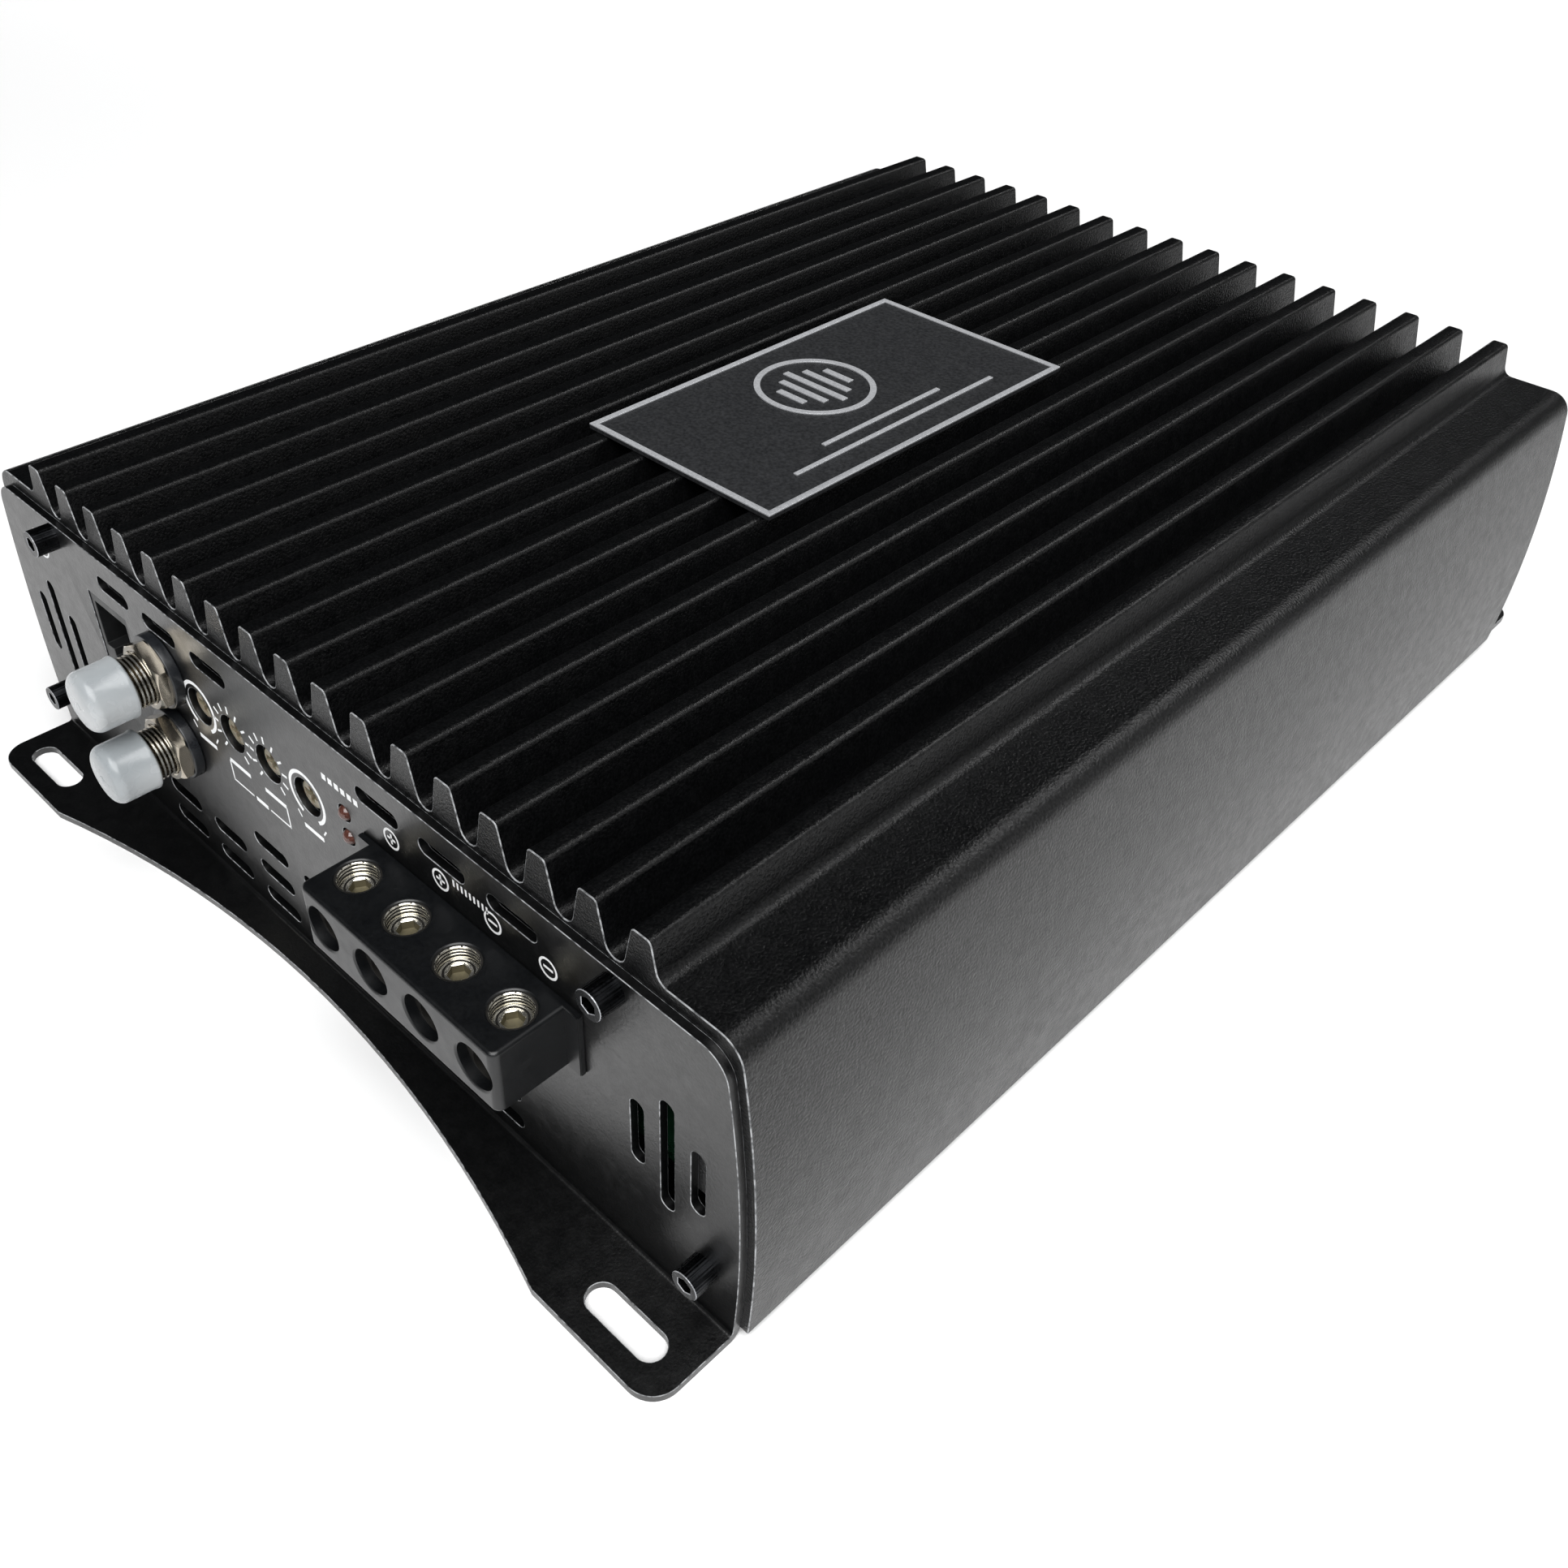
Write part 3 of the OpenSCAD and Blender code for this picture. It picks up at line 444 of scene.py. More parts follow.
def softened(node, slot, width, segments=2, worn=None, name=None):
    """A piece with the shape of a CAD node, its flats rejoined and its sharp edges rounded;
    the optional edge material paints the rounding with wear and a painted highlight."""
    weld, flat = 0.015 * MM, math.radians(0.6)
    bm = bmesh.new()
    bm.from_mesh(nodes[node].data)
    bmesh.ops.remove_doubles(bm, verts=bm.verts, dist=weld)
    bmesh.ops.dissolve_limit(bm, angle_limit=flat, verts=bm.verts, edges=bm.edges)
    for face in bm.faces:
        face.material_index = 0
    mesh = mesh_from(bm, node)
    materials = [finishes[slot], worn] if worn else finishes[slot]
    obj = piece(name or node + "_finished", mesh, materials, body_of(node), slot, node)
    rounded(obj, width, segments, edge_material=1 if worn else -1)


def spokes(along):
    """Two directions square to an axis, the first of them upright for a level axis."""
    first = UP if abs(along.z) < 0.5 else Vector((1, 0, 0))
    return first, along.cross(first)


def hex_radius(across_corners, angle):
    """Distance from the middle to the side of a hexagon whose radius to its corners is given."""
    sector = math.pi / 3
    return across_corners * math.cos(sector / 2) / math.cos(angle % sector - sector / 2)


def turned(bm, base, along, outline, steps, bands=(), skip=None):
    """Adds a solid of revolution. outline is a list of (radius, distance along the axis), or a
    function of the angle that gives one. bands has the material index of each stretch of the
    outline, and skip names one stretch that is left open."""
    base = Vector(base)
    first, second = spokes(along)
    on_axis = 1e-9
    rings = []
    poles = {}
    for i in range(steps):
        angle = 2 * math.pi * i / steps
        spoke = first * math.cos(angle) + second * math.sin(angle)
        ring = []
        for j, (r, d) in enumerate(outline(angle) if callable(outline) else outline):
            if r > on_axis:
                ring.append(bm.verts.new(base + along * d + spoke * r))
            else:
                if j not in poles:
                    poles[j] = bm.verts.new(base + along * d)
                ring.append(poles[j])
        rings.append(ring)
    count = len(rings[0])
    for i in range(steps):
        a, b = rings[i], rings[(i + 1) % steps]
        for j in range(count):
            k = (j + 1) % count
            corners = list(dict.fromkeys((a[j], a[k], b[k], b[j])))
            if len(corners) > 2 and j != skip:
                face = bm.faces.new(corners)
                face.material_index = bands[j] if j < len(bands) else 0


def arc(cr, cd, r, start, end, steps):
    """Points on an arc of an outline, angles in degrees from the radial direction."""
    turns = [math.radians(start + (end - start) * i / steps) for i in range(steps + 1)]
    return [(max(cr + r * math.cos(t), 0), cd + r * math.sin(t)) for t in turns]


def helix(bm, base, along, root, crest, pitch, start, end, steps, flank=0):
    """Adds the face of a screw thread between two distances: a flat-topped ridge that winds
    round the axis, its sides in the material index flank. A turned solid with the same steps
    and an open stretch at the root closes it."""
    base = Vector(base)
    first, second = spokes(along)
    rise, fall = 0.28, 0.72  # where the ridge's flat top starts and ends, in pitches
    turns = math.ceil((end - start) / pitch + 2 - fall)

    def corner(i, radius, offset):
        angle = 2 * math.pi * i / steps
        d = start + pitch * (i / steps - 1 + offset)
        if not start < d < end:
            d = min(max(d, start), end)
            radius = root
        spoke = first * math.cos(angle) + second * math.sin(angle)
        return bm.verts.new(base + along * d + spoke * radius)

    columns = range(turns * steps + 1)
    roots, near, far = ([corner(i, radius, offset) for i in columns]
                        for radius, offset in ((root, 0), (crest, rise), (crest, fall)))
    following = roots[steps:] + [None] * steps
    for i in columns[:-1]:
        for a, b, index in ((roots, near, flank), (near, far, 0), (far, following, flank)):
            if b[i + 1]:
                bm.faces.new((a[i], a[i + 1], b[i + 1], b[i])).material_index = index


def cleaned(bm):
    """Joins what coincides and drops what has no area."""
    weld = 0.003 * MM
    bmesh.ops.remove_doubles(bm, verts=bm.verts, dist=weld)
    bmesh.ops.dissolve_degenerate(bm, dist=weld, edges=bm.edges)
    seen = set()
    for face in list(bm.faces):
        key = frozenset(face.verts)
        if key in seen:
            bm.faces.remove(face)
        seen.add(key)
    loose = [v for v in bm.verts if not v.link_faces]
    bmesh.ops.delete(bm, geom=loose, context="VERTS")


def box_in(bm, low, high):
    """Adds a plain box, to start a shape or to cut with."""
    made = bmesh.ops.create_cube(bm, size=1)["verts"]
    low, high = Vector(low), Vector(high)
    for vert in made:
        vert.co = (low + high) / 2 + Vector(a * b for a, b in zip(vert.co, high - low))


def hidden(fill):
    """A helper object whose mesh fill(bm) draws, for a boolean."""
    bm = bmesh.new()
    fill(bm)
    bmesh.ops.recalc_face_normals(bm, faces=bm.faces)
    mesh = bpy.data.meshes.new("helper")
    bm.to_mesh(mesh)
    bm.free()
    obj = bpy.data.objects.new("helper", mesh)
    scene.collection.objects.link(obj)
    return obj


def carved(blank, steps, name, smooth_angle):
    """The blank's mesh after each (operation, helper) in turn; the helpers are used up."""
    for operation, tool in steps:
        step = blank.modifiers.new("carve", "BOOLEAN")
        step.operation = operation
        step.solver = "EXACT"
        step.object = tool
    shape = blank.evaluated_get(bpy.context.evaluated_depsgraph_get())
    bm = bmesh.new()
    bm.from_mesh(shape.to_mesh())
    shape.to_mesh_clear()
    for used in [blank, *(tool for _, tool in steps)]:
        bpy.data.objects.remove(used)
    for face in bm.faces:
        face.material_index = 0
    cleaned(bm)
    return mesh_from(bm, name, smooth_angle)


def flats_kept(obj):
    """Lets the large faces of a smooth-shaded piece set its normals."""
    weighted = obj.modifiers.new("flats", "WEIGHTED_NORMAL")
    weighted.keep_sharp = True


# ---------- case ----------

# the edge material on these roundings shows wear and a painted highlight
softened("heatsink", "heatsink_black", 0.16 * MM, worn=edge_wear_highlight)
softened("front_panel", "panel_black", 0.11 * MM, worn=edge_wear_highlight)
softened("rear_panel", "panel_black", 0.11 * MM, worn=edge_wear_highlight)
softened("bottom_cover", "panel_black", 0.2 * MM, worn=edge_wear_highlight)


def panel_screws(name, node, outward):
    """Socket cap screws with a fluted head; the node's solids give their places."""
    head, shank, socket, socket_depth = 4.2 * MM, 1.45 * MM, 1.45 * MM, 2.0 * MM
    edge, flute, flutes = 0.12 * MM, 0.06 * MM, 30
    along = OUT * outward
    bm = bmesh.new()
    for low, high in islands(node):
        radius = (high.x - low.x) / 2
        foot = high.y if outward > 0 else low.y
        seat = (high.y - low.y) - head

        def outline(angle):
            r = radius - flute * (0.5 + 0.5 * math.cos(flutes * angle))
            hole = hex_radius(socket, angle)
            return [
                (0, 0), (shank - 0.35 * MM, 0), (shank, 0.5 * MM), (shank, seat), (r, seat),
                (r, seat + head - edge), (radius - edge, seat + head), (hole + 0.09 * MM, seat + head),
                (hole, seat + head - 0.10 * MM), (hole, seat + head - socket_depth),
                (0, seat + head - socket_depth - 0.5 * MM),
            ]

        base = ((low.x + high.x) / 2, foot, (low.z + high.z) / 2)
        # the outer chamfer and the socket's mouth take the light metal as a painted highlight
        turned(bm, base, along, outline, 120, (0, 0, 0, 0, 0, 1, 0, 1, 0, 0, 0))
    piece(name, mesh_from(bm, name, 30), [oxide_black, oxide_rim_painted_highlight], "case", "screw_black", node)


panel_screws("front_panel_cap_screws", "front_panel_screws", 1)
panel_screws("rear_panel_cap_screws", "rear_panel_screws", -1)
softened("bottom_cover_screws", "screw_black", 0.12 * MM, name="cover_countersunk_screws")

softened("nameplate", "badge_black", 0.12 * MM, name="nameplate_face")
softened("nameplate_frame", "badge_silver", 0.07 * MM, name="nameplate_rim")
softened("nameplate_emblem", "badge_silver", 0.06 * MM, name="nameplate_mark")


# ---------- terminal block ----------

screw_places = [centre(f"terminal_screw_{n}") for n in range(1, 5)]


def terminal_body():
    """Moulded block with rounded edges and eased mouths round its wire and screw holes."""
    low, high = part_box("terminal_block")
    corner, edge, ease, tab = 1.4 * MM, 0.7 * MM, 0.32 * MM, 2.8 * MM
    hole, lip = 3.9 * MM, 3.55 * MM
    slack = 0.02 * MM
    mid_z = (low.z + high.z) / 2
    cavity_front, cavity_half_w, cavity_half_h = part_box("terminal_barrels")[0].y, 4.0 * MM, 4.9 * MM

    def body(bm):
        box_in(bm, (low.x + tab, low.y, low.z), (high.x - tab, panel_face_y, high.z))
        upright = [e for e in bm.edges if all(abs(v.co.y - low.y) < slack for v in e.verts)
                   and abs(e.verts[0].co.x - e.verts[1].co.x) < slack]
        bmesh.ops.bevel(bm, geom=upright, offset=corner, segments=5, affect="EDGES", profile=0.5)
        sharp = [e for e in bm.edges if e.calc_face_angle(0) > math.radians(40)]
        bmesh.ops.bevel(bm, geom=sharp, offset=edge, segments=4, affect="EDGES", profile=0.5)

    def tabs(bm):
        box_in(bm, (low.x, panel_face_y - MM, low.z), (high.x, panel_face_y, high.z))
        bmesh.ops.bevel(bm, geom=bm.edges[:], offset=0.15 * MM, segments=2, affect="EDGES")

    def neck(bm):
        middle = (low.x + high.x) / 2
        half_w, half_h = 22.6 * MM, 5.5 * MM
        box_in(bm, (middle - half_w, panel_face_y - 0.5 * MM, mid_z - half_h),
               (middle + half_w, high.y, mid_z + half_h))

    def eased_hole(depth, r=hole):
        return [(0, -slack), (r + ease + slack, -slack), (r + 0.12 * MM, ease * 0.5), (r, ease * 0.8),
                (hole, ease * 0.85), (hole, depth), (0, depth)]

    steps = [("UNION", hidden(tabs)), ("UNION", hidden(neck))]
    for at in screw_places:
        front = (at.x, low.y, mid_z)
        top = (at.x, at.y, high.z)
        steps += [
            ("DIFFERENCE", hidden(lambda bm: box_in(
                bm, (at.x - cavity_half_w, cavity_front, mid_z - cavity_half_h),
                (at.x + cavity_half_w, high.y + slack, mid_z + cavity_half_h)))),
            ("DIFFERENCE", hidden(lambda bm: turned(
                bm, front, -OUT, eased_hole(cavity_front - low.y + 0.5 * MM), 64))),
            ("DIFFERENCE", hidden(lambda bm: turned(bm, top, -UP, eased_hole(4 * MM, lip), 64))),
        ]
    mesh = carved(hidden(body), steps, "terminal_body", 40)
    flats_kept(piece("terminal_body", mesh, block_plastic, "case", "black_plastic", "terminal_block"))


terminal_body()


def threaded_barrels():
    """The barrels, with the grooves of the set screws' threads cut into their necks."""
    bore, groove, pitch, reach = 3.15 * MM, 0.30 * MM, 0.65 * MM, 3.2 * MM
    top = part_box("terminal_barrels")[1].z
    blank = bpy.data.objects.new("helper", nodes["terminal_barrels"].data.copy())
    scene.collection.objects.link(blank)
    rings = [(0, -0.02 * MM), (bore + 0.12 * MM, -0.02 * MM), (bore, 0.10 * MM)]
    for i in range(int(reach / pitch)):
        start = (i + 0.5) * pitch
        rings += [(bore, start), (bore + groove, start + 0.05 * MM),
                  (bore + groove, start + pitch * 0.45), (bore, start + pitch * 0.5)]
    rings.append((0, rings[-1][1]))
    steps = []
    for at in screw_places:
        steps.append(("DIFFERENCE", hidden(lambda bm: turned(bm, (at.x, at.y, top), -UP, rings, 64))))
    mesh = carved(blank, steps, "threaded_barrels", 30)
    mesh.materials.clear()
    # faces away from the neck's bore are painted dark as shade inside the block
    for face in mesh.polygons:
        from_axis = min((face.center - at).xy.length for at in screw_places)
        bright = face.center.z > top - reach and from_axis < bore + 0.05 * MM
        face.material_index = 0 if bright else 1
    piece("threaded_barrels", mesh, [nickel, painted_shade_metal], "case", "nickel", "terminal_barrels")


threaded_barrels()


def set_screw(number):
    """Set screw with a hex socket, a turned groove in its face and a thread down its side."""
    node = f"terminal_screw_{number}"
    low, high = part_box(node)
    length, crest = high.z - low.z, (high.x - low.x) / 2
    root, lead = crest - 0.16 * MM, 0.42 * MM
    lip, groove, socket = crest - 0.40 * MM, 0.20 * MM, 1.75 * MM
    base = Vector((centre(node).x, centre(node).y, low.z))

    def outline(angle):
        hole = hex_radius(socket, angle)
        return [
            (root, length - lead), (crest - 0.04 * MM, length - lead), (lip, length),
            (lip - 0.30 * MM, length), (lip - 0.38 * MM, length - groove),
            (lip - 0.54 * MM, length - groove), (lip - 0.62 * MM, length - 0.02 * MM),
            (hole + 0.12 * MM, length - 0.02 * MM), (hole, length - 0.16 * MM),
            (hole, length - 1.6 * MM), (0, length - 1.8 * MM), (0, 0.1 * MM),
            (crest - 0.5 * MM, 0), (root, 0.3 * MM),
        ]

    bm = bmesh.new()
    # the groove in the face is painted dark as shade; the socket takes its own darker metal
    turned(bm, base, UP, outline, 96, (0, 0, 0, 2, 2, 2, 0, 0, 1, 1), skip=13)
    helix(bm, base, UP, root, crest - 0.01 * MM, 0.5 * MM, 0.3 * MM, length - lead, 96)
    cleaned(bm)
    mesh = mesh_from(bm, node, 30)
    finish = [nickel, socket_floor, painted_shade_metal]
    piece(f"set_screw_{number}", mesh, finish, node, "nickel", node)


for number in range(1, 5):
    set_screw(number)


# ---------- phono inputs ----------

# middle and washer width of each phono jack
jacks = [((low + high) / 2, high.x - low.x) for low, high in islands("rca_washers")]
nut_out = panel_face_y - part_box("rca_nuts")[0].y
washer_out = panel_face_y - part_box("rca_washers")[0].y


def jack_washers():
    """Fibre washers with a rounded rim."""
    bm = bmesh.new()
    for at, width in jacks:
        r, bore, ease = width / 2, 4.85 * MM, 0.25 * MM
        outline = [(bore, 0), (r - ease, 0), *arc(r - ease, ease, ease, -60, 0, 2),
                   *arc(r - ease, washer_out - ease, ease, 0, 90, 4), (bore, washer_out)]
        turned(bm, (at.x, panel_face_y, at.z), OUT, outline, 72)
    piece("jack_washers", mesh_from(bm, "jack_washers"), rubber_black, "case", "black_plastic",
          "rca_washers")


def jack_nuts():
    """Hexagon nuts whose corners are turned off at 30 degrees on the outer side."""
    low, high = islands("rca_nuts")[0]
    corner_r, bore, thread_ease = (high.x - low.x) / 2, 4.85 * MM, 0.35 * MM
    flat_r = corner_r * math.cos(math.pi / 6)
    slope = math.tan(math.radians(30))
    thick = nut_out - washer_out

    def outline(angle):
        side = hex_radius(corner_r, angle)
        shoulder = min(side, flat_r - 0.05 * MM)
        back = min(side, flat_r + 0.35 * MM)
        return [
            (bore, 0), (back, 0), (side, (side - back) * slope + 0.01 * MM),
            (side, thick - (side - shoulder) * slope - 0.04 * MM),
            (side - 0.05 * MM, thick - (side - shoulder) * slope), (shoulder, thick),
            (bore + thread_ease, thick), (bore, thick - thread_ease),
        ]

    bm = bmesh.new()
    # the nuts' front faces and bores take the darker nickel as painted shade
    for at, _ in jacks:
        turned(bm, (at.x, panel_face_y - washer_out, at.z), OUT, outline, 96, (0, 0, 0, 0, 0, 1, 0, 1))
    mesh = mesh_from(bm, "jack_nuts", 25)
    piece("jack_nuts", mesh, [nickel_warm, nickel_shade], "case", "nickel_warm", "rca_nuts")


def jack_shells():
    """Threaded shells: the thread winds from the panel to the plain end the plug grips."""
    low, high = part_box("rca_shells")
    tail, out = high.y - panel_face_y, panel_face_y - low.y
    crest, root, plain, bore, end = 4.8 * MM, 4.25 * MM, 4.15 * MM, 3.3 * MM, 7.4 * MM
    outline = [
        (root, end), (plain, end + 0.2 * MM), (plain, out - 0.4 * MM), (plain - 0.4 * MM, out),
        (bore + 0.15 * MM, out), (bore, out - 0.15 * MM), (bore, -tail), (crest, -tail), (crest, -0.3 * MM),
        (root, 0),
    ]
    bm = bmesh.new()
    # crests take the brighter nickel as a painted highlight, flanks the darker nickel as painted shade
    for at, _ in jacks:
        base = (at.x, panel_face_y, at.z)
        turned(bm, base, OUT, outline, 72, skip=9)
        helix(bm, base, OUT, root, crest, 0.8 * MM, 0, end, 72, flank=1)
    cleaned(bm)
    mesh = mesh_from(bm, "jack_shells", 30)
    piece("jack_shells", mesh, [nickel, nickel_shade], "case", "nickel_warm", "rca_shells")


def dust_cap(node):
    """Soft cap with a rolled mouth, a rounded blind end and a gate mark in its middle."""
    low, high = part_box(node)
    length, r = high.y - low.y, (high.x - low.x) / 2
    bore, floor_at, lip, end_r = 4.23 * MM, 7.3 * MM, 0.14 * MM, 1.9 * MM
    outline = [
        (bore, 0.15 * MM), (bore + 0.15 * MM, 0), (r - 0.25 * MM, 0), (r, 0.25 * MM), (r, 0.8 * MM),
        (r - lip, 1.05 * MM), *arc(r - lip - end_r, length - 0.12 * MM - end_r, end_r, 0, 84, 9),
        (1.2 * MM, length), (0.7 * MM, length), (0.55 * MM, length - 0.18 * MM),
        (0, length - 0.18 * MM), (0, floor_at), (bore - 0.3 * MM, floor_at), (bore, floor_at - 0.3 * MM),
    ]
    bm = bmesh.new()
    turned(bm, (centre(node).x, high.y, centre(node).z), OUT, outline, 96)
    piece("dust_" + node, mesh_from(bm, node, 40), cap_white, node, "white_cap", node)


jack_washers()
jack_nuts()
jack_shells()
dust_cap("rca_cap_upper")
dust_cap("rca_cap_lower")
softened("rca_housing", "black_plastic", 0.3 * MM, name="jack_housing")


# ---------- controls, lights and the remote socket ----------

knobs = ["level_knob", "low_pass_knob", "subsonic_knob", "bass_boost_knob"]


def adjuster(node):
    """Moulded adjuster with a turned-in edge and a cross slot with one longer arm."""
    low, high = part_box(node)
    at, r, length = centre(node), (high.x - low.x) / 2, high.y - low.y
    ease, slot_w, slot_l, slot_depth = 0.25 * MM, 1.1 * MM, 4.0 * MM, 1.4 * MM

    def stem(bm):
        outline = [(0, 0), (r - 0.1 * MM, 0), (r, 0.1 * MM), (r, length - ease - 0.1 * MM),
                   *arc(r - ease, length - ease, ease, 15, 90, 4), (0, length)]
        turned(bm, (at.x, high.y, at.z), OUT, outline, 64)

    def slot(long, wide):
        half = Vector((long / 2, slot_depth, wide / 2))
        middle = Vector((at.x, low.y, at.z))
        return hidden(lambda bm: box_in(bm, middle - half, middle + half))

    cuts = [("DIFFERENCE", slot(slot_l, slot_w)), ("DIFFERENCE", slot(slot_w, slot_l * 0.8))]
    mesh = carved(hidden(stem), cuts, node, 30)
    obj = piece(node + "_adjuster", mesh, knob_cream, node, "knob_cream", node)
    rounded(obj, 0.06 * MM, 2, 50)


for knob in knobs:
    adjuster(knob)
softened("potentiometer_bodies", "pot_blue", 0.3 * MM, name="potentiometer_cases")


def status_lights():
    """Domed resin lights with a flat flange where they meet their board."""
    low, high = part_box("status_leds")
    length = high.y - low.y
    bm = bmesh.new()
    for a, b in islands("status_leds"):
        r = (b.x - a.x) / 2
        outline = [(0, 0), (r, 0), (r, 0.6 * MM), (r - 0.12 * MM, 0.7 * MM),
                   *arc(0, length - r + 0.12 * MM, r - 0.12 * MM, 0, 90, 9)]
        turned(bm, ((a.x + b.x) / 2, high.y, (a.z + b.z) / 2), OUT, outline, 48)
    piece("status_lights", mesh_from(bm, "status_lights"), led_lens, "case", "led_lens", "status_leds")


status_lights()
softened("remote_port", "black_plastic", 0.15 * MM, name="remote_socket")


# ---------- marks printed on the connector panel ----------

INK = 0.02 * MM  # how thick the print is
THIN = 0.35 * MM
BOLD = 0.9 * MM


def printed_arc(bm, at, inner, outer, start=0.0, end=360.0):
    """Ring or part of a ring of ink; angles run anticlockwise as one looks at the panel."""
    steps = 48
    full = end - start >= 360
    ring = []
    for i in range(steps if full else steps + 1):
        a = math.radians(start + (end - start) * i / steps)
        across = Vector((math.cos(a), 0, math.sin(a)))
        spot = Vector((at[0], panel_face_y, at[1]))
        ring.append([bm.verts.new(spot + across * r + OUT * d)
                     for r, d in ((inner, 0), (outer, 0), (outer, INK), (inner, INK))])
    pairs = list(zip(ring, ring[1:])) + ([(ring[-1], ring[0])] if full else [])
    for a, b in pairs:
        for j in range(4):
            k = (j + 1) % 4
            bm.faces.new((a[j], a[k], b[k], b[j]))
    if not full:
        bm.faces.new(ring[0])
        bm.faces.new(ring[-1][::-1])


def printed_bar(bm, at, length, width, turn=0.0):
    """Straight stroke of ink with its middle at a place on the panel."""
    a = math.radians(turn)
    long, wide = Vector((math.cos(a), 0, math.sin(a))), Vector((-math.sin(a), 0, math.cos(a)))
    spot = Vector((at[0], panel_face_y, at[1]))
    corners = [(s * length / 2, t * width / 2) for s, t in ((-1, -1), (1, -1), (1, 1), (-1, 1))]
    back = [bm.verts.new(spot + long * u + wide * v) for u, v in corners]
    front = [bm.verts.new(spot + long * u + wide * v + OUT * INK) for u, v in corners]
    bm.faces.new(back[::-1])
    bm.faces.new(front)
    for j in range(4):
        k = (j + 1) % 4
        bm.faces.new((back[j], back[k], front[k], front[j]))


def ring_scale(bm, x, z):
    """Open ring round an adjuster, with a tick at each end and a dash below it."""
    printed_arc(bm, (x, z), 4.4 * MM, 5.1 * MM, -62, 242)
    for s in (-1, 1):
        printed_bar(bm, (x + s * 3.6 * MM, z - 5.6 * MM), 1.5 * MM, THIN, 90 - s * 35)
    printed_bar(bm, (x, z - 7.6 * MM), 5.5 * MM, BOLD)


def tick_scale(bm, x, z):
    """Ticks over the whole travel of an adjuster, and a dash below them."""
    ticks, travel, radius = 11, 280, 5.0 * MM
    for i in range(ticks):
        turn = 90 + travel / 2 - travel / (ticks - 1) * i
        a = math.radians(turn)
        printed_bar(bm, (x + radius * math.cos(a), z + radius * math.sin(a)), 1.5 * MM, 0.45 * MM, turn)
    printed_bar(bm, (x, z - 7.4 * MM), 6.4 * MM, BOLD)


def pair_bracket(bm, left, right, foot):
    """Bracket below two adjusters, open in the middle round a dash."""
    rise, run = 4.4 * MM, 6.0 * MM
    for x in (left, right):
        printed_bar(bm, (x, foot + rise / 2), rise, THIN, 90)
    printed_bar(bm, (left + run / 2, foot), run + THIN, THIN)
    printed_bar(bm, (right - run / 2, foot), run + THIN, THIN)
    printed_bar(bm, ((left + right) / 2, foot), 3.6 * MM, BOLD)


def polarity_signs(bm):
    """A ringed sign above each terminal, two plus and two minus, and a row of ticks."""
    sign_rise, sign_shift, arm, stroke = 3.9 * MM, 0.7 * MM, 2.0 * MM, 0.42 * MM
    row_start, row_step, row_rise, row_ticks = 42.0 * MM, 0.95 * MM, 5.5 * MM, 9
    block_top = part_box("terminal_block")[1].z
    for n, place in enumerate(screw_places):
        x, z = place.x + sign_shift, block_top + sign_rise
        printed_arc(bm, (x, z), 1.55 * MM, 1.95 * MM)
        printed_bar(bm, (x, z), arm, stroke)
        if n < 2:
            printed_bar(bm, (x, z), arm, stroke, 90)
    for i in range(row_ticks):
        printed_bar(bm, (row_start + i * row_step, block_top + row_rise), 1.3 * MM, 0.4 * MM, 90)


def light_dashes(bm):
    """Row of short dashes above the status lights."""
    light = centre("status_leds")
    dashes, reach, step, rise = 6, 4.4 * MM, 1.7 * MM, 7.2 * MM
    for i in range(dashes):
        printed_bar(bm, (light.x - reach + i * step, light.z + rise), 1.1 * MM, 1.2 * MM)


def corner_mark(bm):
    """Plain ring round three bars, high on the left of the panel."""
    x, z = -83.6 * MM, 52.4 * MM
    printed_arc(bm, (x, z), 2.6 * MM, 3.0 * MM)
    for i in (-1, 0, 1):
        printed_bar(bm, (x + i * 1.1 * MM, z), (3.2 - 1.2 * abs(i)) * MM, 0.45 * MM, 90)


def printed_marks():
    """Plain scales, brackets and polarity signs; every label with words is left off."""
    bm = bmesh.new()
    places = [(centre(k).x, centre(k).z) for k in knobs]
    for x, z in (places[0], places[3]):
        ring_scale(bm, x, z)
    for x, z in places[1:3]:
        tick_scale(bm, x, z)
    over_left, over_right, drop = 3.4 * MM, 3.2 * MM, 12.0 * MM
    (left, z), (right, _) = places[1:3]
    pair_bracket(bm, left - over_left, right + over_right, z - drop)
    light_dashes(bm)
    polarity_signs(bm)
    corner_mark(bm)
    mesh = mesh_from(bm, "printed_marks", 30)
    piece("printed_marks", mesh, print_white, "case", "insulator_white")


printed_marks()


# ---------- electronics ----------


